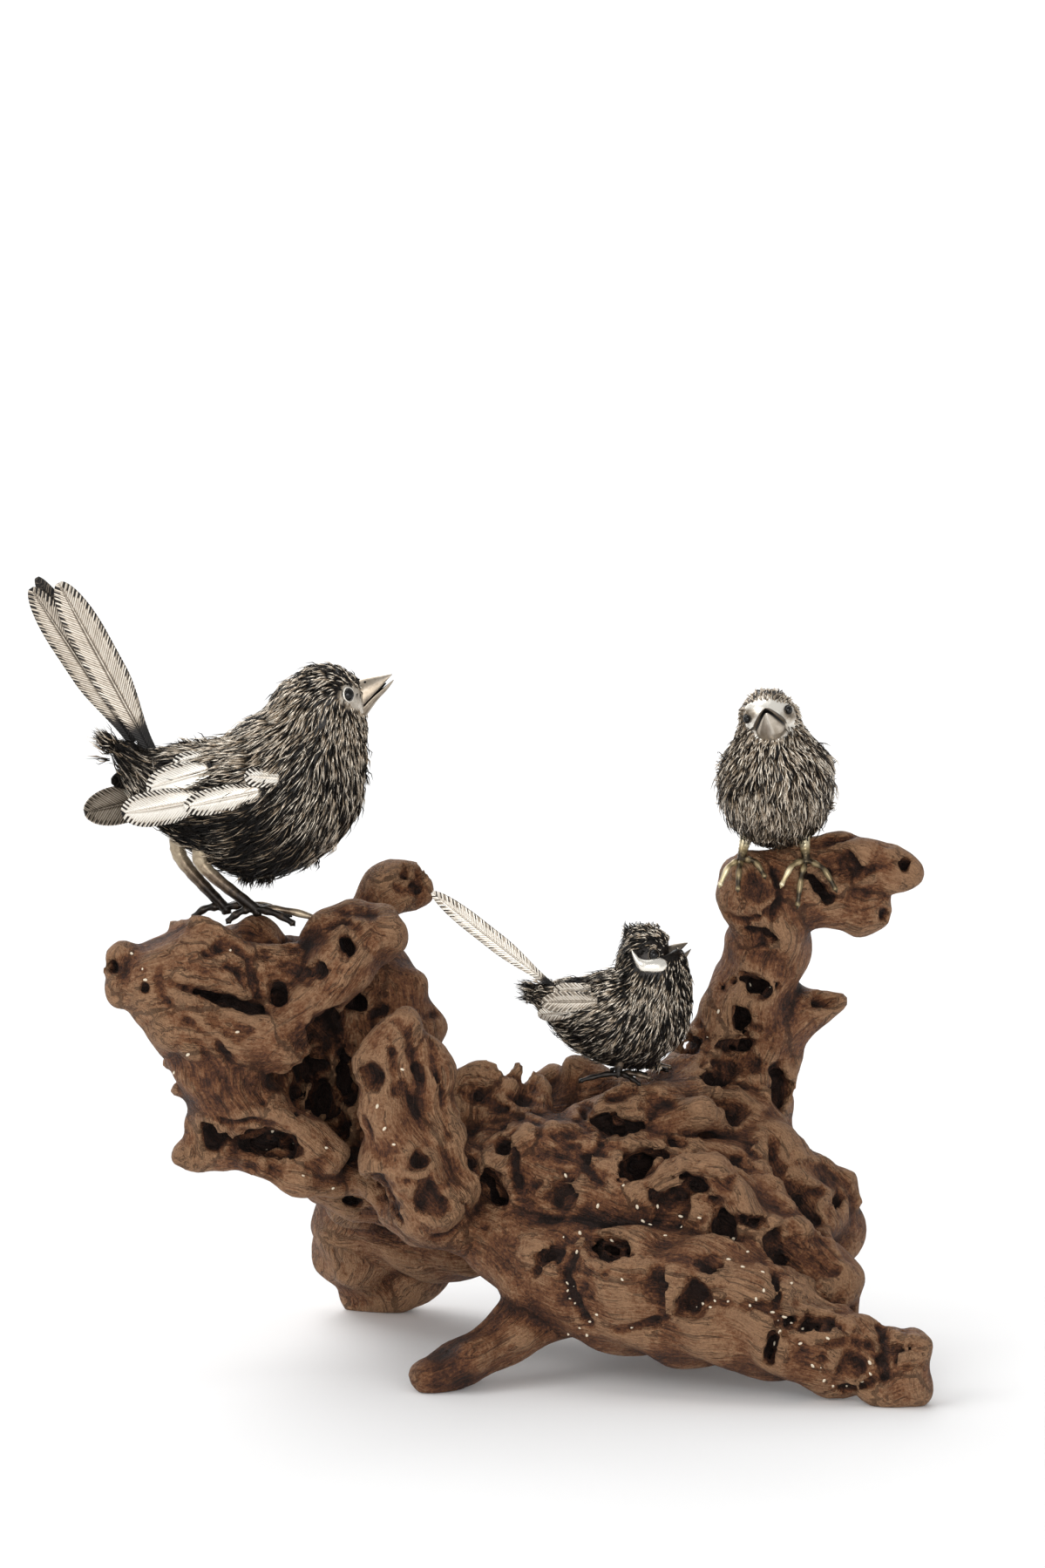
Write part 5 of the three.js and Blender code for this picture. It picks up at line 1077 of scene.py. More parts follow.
roundChick = {
    "name": "round_chick",
    "slot": "pale_plume",
    "perch": (84, -2, 145),
    "heading": -90,
    "near": 0,
    "seenSlope": 0,
    "body": [
        [-29, 12, 1.6, 1.8], [-24, 13.5, 4.6, 5.0], [-17, 16, 10.4, 10.6], [-8, 18.8, 15.4, 14.6, 0.4],
        [0, 22.6, 17.1, 15.3, 0.2], [3.6, 28.6, 15.8, 14.6, 0.5], [5.0, 35.4, 11.4, 10.8, -0.6],
        [5.8, 40.4, 8.2, 8.7, -1.4], [6.0, 44.4, 7.6, 8.2, -1.9], [5.6, 47.6, 5.4, 5.8, -2.1],
    ],
    "wires": 10600,
    "wirePoints": 4,
    "wireRadius": 0.15,
    "stray": 0.22,
    "curl": 0.24,
    "lift": 1.3,
    "flare": 0.25,
    "brightShare": 0.38,
    "paleness": 0.16,
    "combs": [
        [13, 47, -0.8, 0.5, 1.6], [6, 49, -1, 0, 2.0], [-2, 44, -0.8, -0.6, 3.4], [6, 44, -0.4, -0.9, 1.8],
        [13, 36.5, -0.1, -0.98, 3.0], [18, 34, 0.05, -1, 4], [22, 26, 0, -1, 5], [20, 14, -0.2, -0.98, 5.4],
        [4, 38, -0.2, -0.95, 2.4], [4, 32, -0.3, -0.95, 4.6], [0, 26, -0.3, -0.95, 5.4],
        [-2, 14, -0.4, -0.9, 5.6], [-10, 30, -0.6, -0.8, 5], [-20, 22, -0.8, -0.6, 5],
        [-30, 13, -0.9, -0.4, 5], [-14, 8, -0.8, -0.5, 5], [8, 4, -0.4, -0.9, 5],
    ],
    "bare": [[15.6, 41.2, 3.4], [12.6, 45.6, 2.7], [12.2, 42.6, 2.0]],
    "shaded": [[11.2, 44.0, 1.9], [17.6, 42.4, 2.5], [14.6, 40.6, 2.4], [17, 39, 2.4]],
    "darkerWires": [[2, 8, 5]],
    "brighterWires": [[11, 48, 4.4], [15, 36, 5], [8, 44, 5], [20, 17, 8]],
    "skinShine": 1.1,
    "capHeight": 0.45,
    "tufts": [[(2, 0, 8.2), (14, 20, 2), (0, 0, -1), 2.4, 260],
              [(0, -14.6, 23), (7, 1.5, 15), (-0.2, -0.7, 0.0), 2.2, 90],
              [(0, 15.0, 22), (7, 1.5, 15), (-0.2, 0.7, 0.0), 2.2, 90]],
}


wireShape = {
    "sunkRoot": 0.4,  # how deep under the skin a wire starts
    "length": (0.8, 1.45),  # shares of the combed length
    "strayPatch": 3.2,  # width of the patches of wires that stray together
    "strayAlone": 0.6,  # how far single wires stray beside that
    "combReach": 4,  # how far one comb acts before the next takes over
    "flareWidth": 8,
    "rise": (0.3, 1.2),  # how far tips stand off, as shares of the bird's lift
    "fullRise": (5, 0.3, 1.2),  # length that stands off the whole way, and limits for shorter and longer
    "standing": (0.06, 2.0),  # share of the wires that stand off further, and how much further
    "loose": (0.35, 0.75),  # how freely tips hang, and those under the bird
    "underside": -0.35,
    "thickness": (0.8, 1.25), "brightThicker": 1.15,
    "brightShade": (0.7, 1.2), "darkShade": (0.0, 0.25), "skinShade": 0.04,
    # painted shade along a wire, darkest at the root
    "shadeAlong": (0.3, 0.9),  # at the root, and how much more toward the tip
    "tuftStray": 0.2, "tuftLength": (0.45, 1.1), "tuftBow": 0.5,
}


def toRow(bird, points):
    # From the bird's own frame to the row frame
    turn = math.radians(bird["heading"])
    matrix = np.array([
        [math.cos(turn), -math.sin(turn), 0],
        [math.sin(turn), math.cos(turn), 0],
        [0, 0, 1],
    ])
    return np.asarray(points) @ matrix.T + np.add(bird["perch"], driftwoodShape["middle"])


def asSeen(bird, points):
    # Side view of the bird, as the downward line of sight shows its near side
    drop = sightDrop * bird["seenSlope"] * (np.abs(points[:, 1]) + bird["near"])
    return np.stack([points[:, 0], points[:, 2] - drop], 1)


def unit(vectors):
    return vectors / np.maximum(np.linalg.norm(vectors, axis=-1, keepdims=True), 1e-9)


def smoothRows(rows, count):
    # Rows of numbers run smoothly through the given ones
    rows = np.array(rows, float)
    ends = np.vstack([2 * rows[0] - rows[1], rows, 2 * rows[-1] - rows[-2]])
    t = np.linspace(0, len(rows) - 1, count)
    i = np.minimum(t.astype(int), len(rows) - 2)
    f = (t - i)[:, None]
    a, b, c, d = ends[i], ends[i + 1], ends[i + 2], ends[i + 3]
    bend, twist = 2 * a - 5 * b + 4 * c - d, 3 * b - a - 3 * c + d
    return 0.5 * (2 * b + (c - a) * f + bend * f ** 2 + twist * f ** 3)


def ringSkin(rings):
    # Triangles over rings of points, [ring, point, xyz], closed by a middle point at each end
    count, sides, _ = rings.shape
    points = np.concatenate([rings.reshape(-1, 3), rings[0].mean(0)[None], rings[-1].mean(0)[None]])
    first, last = count * sides, count * sides + 1
    s = np.arange(sides)
    t = (s + 1) % sides
    faces = [np.stack([np.full(sides, first), t, s], 1)]
    for r in range(count - 1):
        a, b = r * sides, (r + 1) * sides
        faces += [np.stack([a + s, a + t, b + t], 1), np.stack([a + s, b + t, b + s], 1)]
    end = (count - 1) * sides
    faces.append(np.stack([np.full(sides, last), end + s, end + t], 1))
    return points, np.concatenate(faces)


def turnedOut(points, faces):
    # Makes the faces of a closed mesh point outward
    a, b, c = (points[faces[:, k]] for k in range(3))
    volume = np.einsum("ij,ij->i", a, np.cross(b, c)).sum()
    return faces if volume > 0 else faces[:, ::-1]


def bodyMesh(bird, rings=44, sides=40, capShare=0.55):
    rows = smoothRows([list(row) + [0] * (5 - len(row)) for row in bird["body"]], rings)
    spine = np.stack([rows[:, 0], rows[:, 4], rows[:, 1]], 1)
    along = np.gradient(spine, axis=0)
    along[:, 1] = 0
    along = unit(along)
    across = np.array([0.0, 1.0, 0.0])
    up = np.cross(along, across)
    angle = 2 * np.pi * np.arange(sides) / sides
    reach = np.cos(angle)[None, :, None] * across * rows[:, 3][:, None, None]
    reach = reach + np.sin(angle)[None, :, None] * up[:, None] * rows[:, 2][:, None, None]
    closing = spine[-1] + along[-1] * bird["capHeight"] * rows[-1, 2]
    cap = closing + reach[-1] * capShare
    points, faces = ringSkin(np.concatenate([spine[:, None] + reach, cap[None]]))
    return points, turnedOut(points, faces)


def combedWay(bird, points):
    # Way and length of the wires at points in the bird's own frame
    combs = np.array(bird["combs"], float)
    seen = asSeen(bird, points)
    away = (seen[:, None, 0] - combs[:, 0]) ** 2 + (seen[:, None, 1] - combs[:, 1]) ** 2
    weight = 1 / (away + wireShape["combReach"]) ** 2
    weight /= weight.sum(1, keepdims=True)
    mixed = weight @ combs[:, 2:]
    side = np.tanh(points[:, 1] / wireShape["flareWidth"]) * bird["flare"]
    return np.stack([mixed[:, 0], side, mixed[:, 1]], 1), mixed[:, 2]


def inSpots(bird, kind, points, softness, grow=0.0):
    # 1 inside the bird's seen round places of one kind
    seen = asSeen(bird, points)
    found = np.zeros(len(points))
    for x, z, radius in bird[kind]:
        away = np.hypot(seen[:, 0] - x, seen[:, 1] - z)
        found = np.maximum(found, smoothStep(radius + grow + softness, radius + grow - softness, away))
    return found


def nearestOn(tree, points):
    spots = np.empty_like(points)
    normals = np.empty_like(points)
    for i, point in enumerate(points):
        spots[i], normals[i] = tree.find_nearest(point)[:2]
    return spots, normals


def wirePaths(bird, points, faces, rng):
    # Points along each wire: it leaves the skin, then lies over it the way it is combed
    shape, count = wireShape, bird["wires"]
    corner = points[faces]
    cross = np.cross(corner[:, 1] - corner[:, 0], corner[:, 2] - corner[:, 0])
    density = np.linalg.norm(cross, axis=1) * (1 - inSpots(bird, "bare", corner.mean(1), 0.4, -0.3))
    chosen = rng.choice(len(faces), count, p=density / density.sum())
    a, b = rng.random((2, count, 1))
    flip = a + b > 1
    a, b = np.where(flip, 1 - a, a), np.where(flip, 1 - b, b)
    c = corner[chosen]
    root = c[:, 0] + a * (c[:, 1] - c[:, 0]) + b * (c[:, 2] - c[:, 0])
    out = unit(cross[chosen])
    tree = BVHTree.FromPolygons(points.tolist(), faces.tolist())
    stray = np.stack([latticeNoise(root, shape["strayPatch"], k) for k in (31, 32, 33)], 1) * bird["stray"]
    stray += rng.normal(0, bird["stray"] * shape["strayAlone"], root.shape)
    length = combedWay(bird, root)[1] * rng.uniform(*shape["length"], count)
    full, least, most = shape["fullRise"]
    rise = bird["lift"] * rng.uniform(*shape["rise"], count) * np.clip(length / full, least, most)
    standing, further = shape["standing"]
    rise *= np.where(rng.random(count) < standing, further, 1.0)
    above, under = shape["loose"]
    loose = np.where(out[:, 2] < shape["underside"], under, above)[:, None]
    steps = bird["wirePoints"] - 1
    path = [root - out * shape["sunkRoot"]]
    here = root
    for step in range(1, steps + 1):
        way = combedWay(bird, here)[0] + stray * (0.4 + step / steps)
        way = unit(way - out * (way * out).sum(1, keepdims=True))
        stretch = way * (length / steps)[:, None]
        here, out = nearestOn(tree, here + stretch)
        held = here + out * (rise * (step / steps) ** 0.6)[:, None]
        if step == steps:
            held = held * (1 - loose) + (path[-1] + stretch) * loose
        path.append(held + rng.normal(0, bird["curl"] * step / steps, held.shape))
    return np.stack(path, 1)


def tuftPaths(bird, rng):
    paths = [np.zeros((0, bird["wirePoints"], 3))]
    share = np.linspace(0, 1, bird["wirePoints"])[None, :, None]
    for middle, reach, way, length, count in bird["tufts"]:
        root = np.array(middle) + rng.uniform(-1, 1, (count, 3)) * np.array(reach) / 2
        along = unit(np.array(way) + rng.normal(0, wireShape["tuftStray"], (count, 3)))
        run = length * rng.uniform(*wireShape["tuftLength"], (count, 1, 1))
        bow = rng.normal(0, wireShape["tuftBow"], (count, 1, 3)) * np.sin(np.pi * share)
        paths.append(root[:, None] + along[:, None] * share * run + bow)
    return np.concatenate(paths)


def wireMesh(path, radius):
    # Three-sided tapering wires, closed at the root and pointed at the tip
    count, stations, _ = path.shape
    along = np.empty_like(path)
    along[:, 1:-1] = path[:, 2:] - path[:, :-2]
    along[:, 0] = path[:, 1] - path[:, 0]
    along[:, -1] = path[:, -1] - path[:, -2]
    along = unit(along)
    anyWay = np.array([0.37, 0.61, 0.7])  # no wire lies along it
    side = unit(np.cross(along, anyWay))
    up = np.cross(along, side)
    rings = []
    for s in range(stations - 1):
        for k in range(3):
            angle = 2 * math.pi * k / 3
            offset = math.cos(angle) * side[:, s] + math.sin(angle) * up[:, s]
            rings.append(path[:, s] + offset * radius[:, None])
    rings.append(path[:, -1])
    points = np.stack(rings, 1)
    each = 3 * (stations - 1) + 1
    pattern = [(0, 2, 1)]
    for s in range(stations - 2):
        for k in range(3):
            a, b = 3 * s + k, 3 * s + (k + 1) % 3
            pattern += [(a, b, b + 3), (a, b + 3, a + 3)]
    last = 3 * (stations - 2)
    for k in range(3):
        pattern.append((last + k, last + (k + 1) % 3, each - 1))
    faces = (np.array(pattern)[None] + (np.arange(count) * each)[:, None, None]).reshape(-1, 3)
    share = np.repeat(np.arange(stations) / (stations - 1), [3] * (stations - 1) + [1])
    return points.reshape(-1, 3), faces, np.tile(share, count), each


class Pile:
    # Gathers closed meshes, each with a shade at every point, into one piece
    def __init__(self):
        self.points, self.faces, self.shades, self.kinds = [], [], [], []
        self.size = 0

    def add(self, points, faces, shade, kind=0):
        self.points.append(points)
        self.faces.append(np.asarray(faces) + self.size)
        self.shades.append(np.broadcast_to(np.asarray(shade, float), len(points)))
        self.kinds.append(np.full(len(faces), kind))
        self.size += len(points)

    def make(self, name, bird, looks, nodes):
        piece = meshObject(name, toRow(bird, np.concatenate(self.points)), np.concatenate(self.faces),
                           [metals[look] for look in looks], materialOf=np.concatenate(self.kinds))
        setAttribute(piece, "shade", np.concatenate(self.shades))
        if nodes:
            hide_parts(*nodes)
        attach(piece, "root")


def makePlumage(bird, points, faces, seed):
    shape = wireShape
    rng = np.random.default_rng(seed)
    path = np.concatenate([wirePaths(bird, points, faces, rng), tuftPaths(bird, rng)])
    count = len(path)
    darkerWires = inSpots(bird, "darkerWires", path[:, 0], 3)
    brighterWires = inSpots(bird, "brighterWires", path[:, 0], 3)
    # bright wires are rubbed silver that also carries painted glints; dark wires are oxidised
    bright = rng.random(count) < bird["brightShare"] * (1 - 0.75 * darkerWires) + 0.3 * brighterWires
    brightShade = rng.uniform(*shape["brightShade"], count)
    darkShade = rng.uniform(*shape["darkShade"], count)
    shade = np.where(bright, brightShade, darkShade + bird["paleness"]) * (1 - 0.35 * darkerWires)
    radius = bird["wireRadius"] * rng.uniform(*shape["thickness"], count)
    radius = radius * np.where(bright, shape["brightThicker"], 1.0)
    wirePoints, wireFaces, share, each = wireMesh(path, radius)
    atRoot, more = shape["shadeAlong"]
    pile = Pile()
    # bare skin is polished silver, with painted shade in the shaded places
    shine = inSpots(bird, "bare", points, 0.8, 1.2) * (1 - 0.6 * inSpots(bird, "shaded", points, 0.8))
    pile.add(points, faces, shape["skinShade"] + bird["skinShine"] * shine)
    # painted shade toward each wire's root, where the wires lie over one another
    pile.add(wirePoints, wireFaces, np.repeat(shade, each) * (atRoot + more * share), kind=1)
    name = bird["name"]
    pile.make(name + "_plumage", bird, ["skin_silver", "wire_silver"], [name + "_body"])


# Feather plates

plateShape = {
    "thickness": 0.5,
    "widest": 0.45,  # share of the length at which a vane reaches its full width
    "closing": (0.66, 0.345),  # share from which it narrows, and over which share
    "thinnest": 0.03,
    "barbSpacing": 0.92,
    "barbSlant": 1.15,  # how far a barb runs toward the tip for each mm it runs outward
    "barbHeight": 0.2,
    "barbSection": (0.0, 0.75, 1.0, 0.7),  # heights across one barb
    "grooveSection": (1.0, 0.25, 0.0, 0.25),  # darkness across one barb
    "columns": (0.045, 0.075, 0.2, 0.36, 0.52, 0.68, 0.81, 0.91, 1.0),  # shares of the half width
    "ragged": 0.02,
    "shaftHeight": 0.42,
    "shaftShadow": 0.35,
    "tickSpacing": 1.3,
    "tickShare": 0.42,
    "tickLength": 1.2,
    "grooves": 0.4,
    "baseDarkness": 0.93,
    "backShade": 0.8,
}


def vaneHalf(t, width, opening):
    spread = np.clip(t / plateShape["widest"], 0, 1)
    grow = opening + (1 - opening) * spread * spread * (3 - 2 * spread)
    start, over = plateShape["closing"]
    close = np.sqrt(np.clip(1 - (np.clip(t - start, 0, 1) / over) ** 2, 0, 1))
    return width / 2 * grow * close


def closedSheet(front, back):
    # Closed mesh between two grids of points, [row, column, xyz]
    rows, columns = front.shape[:2]
    points = np.concatenate([front.reshape(-1, 3), back.reshape(-1, 3)])
    number = np.arange(rows * columns).reshape(rows, columns)
    a, b, c, d = number[:-1, :-1], number[:-1, 1:], number[1:, 1:], number[1:, :-1]
    top = np.concatenate([np.stack([a, d, c], -1).reshape(-1, 3), np.stack([a, c, b], -1).reshape(-1, 3)])
    bottom = top[:, ::-1] + rows * columns
    rim = np.concatenate([number[:, 0], number[-1, 1:], number[-2::-1, -1], number[0, -2:0:-1]])
    under = rim + rows * columns
    follow, underFollow = np.roll(rim, -1), np.roll(under, -1)
    wall = np.concatenate([np.stack([rim, under, underFollow], 1), np.stack([rim, underFollow, follow], 1)])
    faces = np.concatenate([top, bottom, wall])
    return points, turnedOut(points, faces)


def featherPlate(root, tip, width, face, look, seed):
    # Chased plate with a raised shaft and slanted barbs. The look holds how open its base is, its cup
    # and arch, its shade, the darkness of its ticks and grooves, where its dark base ends, where its barbs
    # begin and whether one half is rubbed smooth
    shape = plateShape
    rng = np.random.default_rng(seed)
    root, tip = np.asarray(root, float), np.asarray(tip, float)
    length = np.linalg.norm(tip - root)
    along = (tip - root) / length
    face = unit(face - along * (face @ along))
    across = np.cross(face, along)
    # each row starts on the shaft and ends further along on the edge
    edgeT = np.linspace(0, 1, 2000)
    half = vaneHalf(edgeT, width, look["opening"])
    shaftT = np.maximum.accumulate(edgeT - shape["barbSlant"] * half / length)
    perBarb = len(shape["barbSection"])
    rows = int(round((1 - shaftT[0]) * length / shape["barbSpacing"])) * perBarb + 1
    start = np.linspace(shaftT[0], 1, rows)
    end = np.interp(start, shaftT, edgeT)
    start = np.clip(start, 0, 1)[:, None]
    edgeHalf = np.maximum(vaneHalf(end, width, look["opening"]), shape["thinnest"])
    phase = np.arange(rows) % perBarb
    wave = np.array(shape["barbSection"])[phase][:, None]
    columns = np.array(shape["columns"])
    shares = np.concatenate([-columns[::-1], [0], columns])
    v = np.abs(shares)[None, :]
    side = np.sign(shares)[None, :]
    alongT = start + (end[:, None] - start) * v
    lateral = side * v * edgeHalf[:, None] * (1 + shape["ragged"] * wave * v)
    arch = 4 * look["arch"] * alongT * (1 - alongT)
    # the rubbed half is smooth, without barbs, and painted lighter as a highlight
    rubbedAndHighlit = look.get("rubbed", 0) * smoothStep(-0.1, 0.1, shares) * smoothStep(0.98, 0.7, shares)
    barb = shape["barbHeight"] * wave * smoothStep(0.06, 0.2, v) * (1 - rubbedAndHighlit)
    shaft = shape["shaftHeight"] * smoothStep(0.09, 0.02, v) * (1 - 0.6 * alongT)
    cup = -look["cup"] * width * (v * edgeHalf[:, None] / (width / 2)) ** 2
    front = shape["thickness"] / 2 + barb + shaft + cup + arch
    back = -shape["thickness"] / 2 + cup + arch - (barb + shaft) * (1 if look.get("double") else 0)
    flatPlate = root + (alongT * length)[..., None] * along + lateral[..., None] * across
    points, faces = closedSheet(*(flatPlate + height[..., None] * face for height in (front, back)))
    # grooves between the barbs, ticks along the edge, a dark line beside the shaft and a dark base
    barbed = smoothStep(look["barbsFrom"] - 0.2, look["barbsFrom"] + 0.25, v)
    groove = np.array(shape["grooveSection"])[phase][:, None] * barbed * (1 - rubbedAndHighlit)
    edgeArc = np.cumsum(np.hypot(np.diff(end * length, prepend=0), np.diff(edgeHalf, prepend=0)))
    tick = (np.mod(edgeArc, shape["tickSpacing"]) < shape["tickShare"] * shape["tickSpacing"])[:, None]
    rim = smoothStep((1 - shape["tickLength"] / np.maximum(edgeHalf, 1.0))[:, None], 1.0, v)
    shade = look["shade"] + 0.12 * rubbedAndHighlit - look.get("grooves", shape["grooves"]) * groove
    shade = shade - tick * (rim > 0.01) * look["ticks"]
    shade = shade - shape["shaftShadow"] * smoothStep(0.03, 0.05, v) * smoothStep(0.11, 0.08, v)
    darkBase = smoothStep(look["darkTo"], look["darkTo"] * 0.4, alongT)
    streak = rng.normal(0, 0.05, (rows, 1)) + rng.normal(0, 0.03, (1, len(shares)))
    shade = np.clip((shade + streak) * (1 - shape["baseDarkness"] * darkBase), 0.02, 1.1)
    return points, faces, np.concatenate([shade.ravel(), shade.ravel() * shape["backShade"]])


tailLook = {
    "opening": 0.34, "cup": 0.05, "arch": 0.0, "shade": 0.75, "ticks": 0.85, "darkTo": 0.22,
    "barbsFrom": 0.1, "double": True,
}
wingPlateLook = {
    "opening": 0.5, "cup": 0.07, "arch": 0.0, "shade": 0.98, "ticks": 1.1, "darkTo": 0.1, "barbsFrom": 0.45,
}
greyPlateLook = {
    "opening": 0.34, "cup": 0.1, "arch": 0.0, "shade": 0.74, "ticks": 0.3, "darkTo": 0.03, "barbsFrom": 0.15,
    "grooves": 0.26,
}

# Ends of each plate, its width, for the tail its lean in degrees, and changes to the look. Wing plates
# are given in side view, [x, z]; "far" holds those of the far wing that differ
plates = {
    "grown_bird": {
        "tail": [
            [(-28, -1.2, 49), (-54.2, -1.2, 97.8), 10.6, 0, {}],
            [(-33, 1.4, 51), (-62.2, 1.4, 95.8), 9.2, 0, {"shade": 0.7}],
            [(-30, 3.2, 50), (-60.6, 3.2, 98.6), 6.8, 0, {"shade": 0.4}],
        ],
        "wing": [
            [(-10, 45.4), (-29, 39.4), 9, {"rise": 1.2, "rubbed": 1}],
            [(-12, 37.4), (-36.2, 31.8), 10.2, {"rise": 0.6}],
            [(5, 40.6), (-18.3, 35), 7.4, {"rise": 1.4}],
            [(9.6, 43.6), (-1.0, 44.4), 6.2, {"rise": 0.7}],
            [(-12, 48.6), (-21.4, 46.8), 4.6, {"rise": 0.6}],
        ],
        "look": wingPlateLook,
        "far": {
            0: [(-14, 41.6), (-39.4, 39.4), 7, {"rise": 0.2, "shade": 0.3, "ticks": 0.3, "barbsFrom": 0.0}],
            1: [(-20, 35.2), (-47, 31.2), 11, {"shade": 0.8, "ticks": 0.35, "barbsFrom": 0.0}],
        },
    },
    "crested_chick": {
        "tail": [[(-22, -1, 26), (-56.4, -1, 53.4), 5.4, 0, {"darkTo": 0.12, "shade": 0.95, "ticks": 0.5}]],
        "wing": [
            [(-10.6, 25.8), (-21.6, 25.4), 4.6, {"rise": 0.9, "shade": 0.8}],
            [(-8.6, 23.2), (-25, 22.2), 5.8, {"rise": 1.1}],
            [(-14, 20.8), (-26, 18), 4.4, {"rise": 0.4, "shade": 0.86, "opening": 0.6}],
        ],
        "look": greyPlateLook,
    },
    "round_chick": {
        "tail": [
            [(-26, 2, 15), (-44, 7, 6), 6.8, 80, {}],
            [(-26, 4.4, 13), (-42, 10.4, 4.6), 6.2, 80, {}],
        ],
        "wing": [
            [(-3, 28), (-16, 23.6), 4.6, {"rise": 0.4}],
            [(-4, 22.6), (-21, 17), 5, {"rise": 0.8}],
            [(-8, 16.6), (-22, 12.2), 4.2, {"rise": 0.2}],
        ],
        "look": greyPlateLook,
    },
}


def reachOf(tree, x, z, side, far=60):
    # How far out the skin is at one place of its side view
    hit = tree.ray_cast(Vector((x, side * far, z)), Vector((0, -side, 0)))[0]
    return None if hit is None else abs(hit.y)


def layOverSkin(tree, root, tip, side, rise):
    # Ends, face and arch of a plate that lies over the skin and lifts off it toward its tip
    share = np.linspace(0, 1, 9)
    across = [np.interp(share, (0, 1), (a, b)) for a, b in zip(root, tip)]
    reach = [reachOf(tree, x, z, side) for x, z in zip(*across)]
    met = [k for k, r in enumerate(reach) if r is not None]
    fit = np.polyfit(share[met], [reach[k] for k in met], 2 if len(met) > 3 else 1)
    if len(fit) == 3:
        fit[0] = max(min(fit[0], 2.0), -7.0)  # hardly hollow, and not bent too far
    y = side * (np.polyval(fit, share) + rise * (0.3 + 0.7 * share) + 0.1 + 1.5 * share)
    start, middle, end = (np.array([across[0][k], y[k], across[1][k]]) for k in (0, len(share) // 2, -1))
    face = np.array(tree.find_nearest(Vector(middle))[1]) + np.array([0, side * 0.8, 0])
    arch = (middle - (start + end) / 2) @ unit(face)
    return start, end, face, arch


def makePlates(bird, tree):
    name, table = bird["name"], plates[bird["name"]]
    tail = Pile()
    nodes = []
    for i, (root, tip, width, lean, change) in enumerate(table["tail"]):
        lean = math.radians(lean)
        face = np.array([0, -math.cos(lean), math.sin(lean)])
        tail.add(*featherPlate(root, tip, width, face, {**tailLook, **change}, seed=i))
        nodes.append(f"{name}_tail_feather_{i + 1}")
    tail.make(name + "_tail", bird, ["plate_silver"], nodes)
    wings = Pile()
    nodes = []
    for part, side in (("right", -1), ("left", 1)):
        for i, feather in enumerate(table["wing"]):
            root, tip, width, change = table.get("far", {}).get(i, feather) if side > 0 else feather
            start, end, face, arch = layOverSkin(tree, root, tip, side, change.get("rise", 0.4))
            look = {**table["look"], **change, "arch": arch}
            wings.add(*featherPlate(start, end, width, face, look, seed=i + 9))
            nodes.append(f"{name}_wing_feather_{part}_{i + 1}")
    wings.make(name + "_wings", bird, ["plate_silver"], nodes)


# Beaks, eyes and legs


def sweep(path, radii, sides, wide=1, keel=None):
    # Closed rod along a path, some times as wide as it is high; keel(angle) reshapes its round section
    path = np.asarray(path, float)
    along = unit(np.gradient(path, axis=0))
    side = np.array([0.0, 1.0, 0.0])
    if abs(along[0] @ side) > 0.9:
        side = np.array([1.0, 0.0, 0.0])
    angle = 2 * np.pi * np.arange(sides) / sides
    section = np.stack([np.cos(angle), np.sin(angle)]) if keel is None else keel(angle)
    rings = []
    for point, way, radius, width in zip(path, along, radii, np.broadcast_to(wide, len(path))):
        side = unit(side - way * (side @ way))
        up = np.cross(way, side)
        rings.append(point + radius * (section[0][:, None] * side * width + section[1][:, None] * up))
    points, faces = ringSkin(np.array(rings))
    share = np.concatenate([np.repeat(np.linspace(0, 1, len(path)), sides), [0, 1]])
    turn = np.concatenate([np.tile(angle, len(path)), [0, 0]])
    return points, turnedOut(points, faces), share, turn


def ballMesh(centre, radius, rings=12, sides=20, gap=0.12):
    # gap: angle in radians from each pole to the first ring
    angle = np.linspace(gap, np.pi - gap, rings)
    turn = 2 * np.pi * np.arange(sides) / sides
    rounds = np.stack([
        np.sin(angle)[:, None] * np.cos(turn), np.sin(angle)[:, None] * np.sin(turn),
        np.cos(angle)[:, None] * np.ones(sides),
    ], -1)
    points, faces = ringSkin(np.asarray(centre) + radius * rounds)
    return points, turnedOut(points, faces)


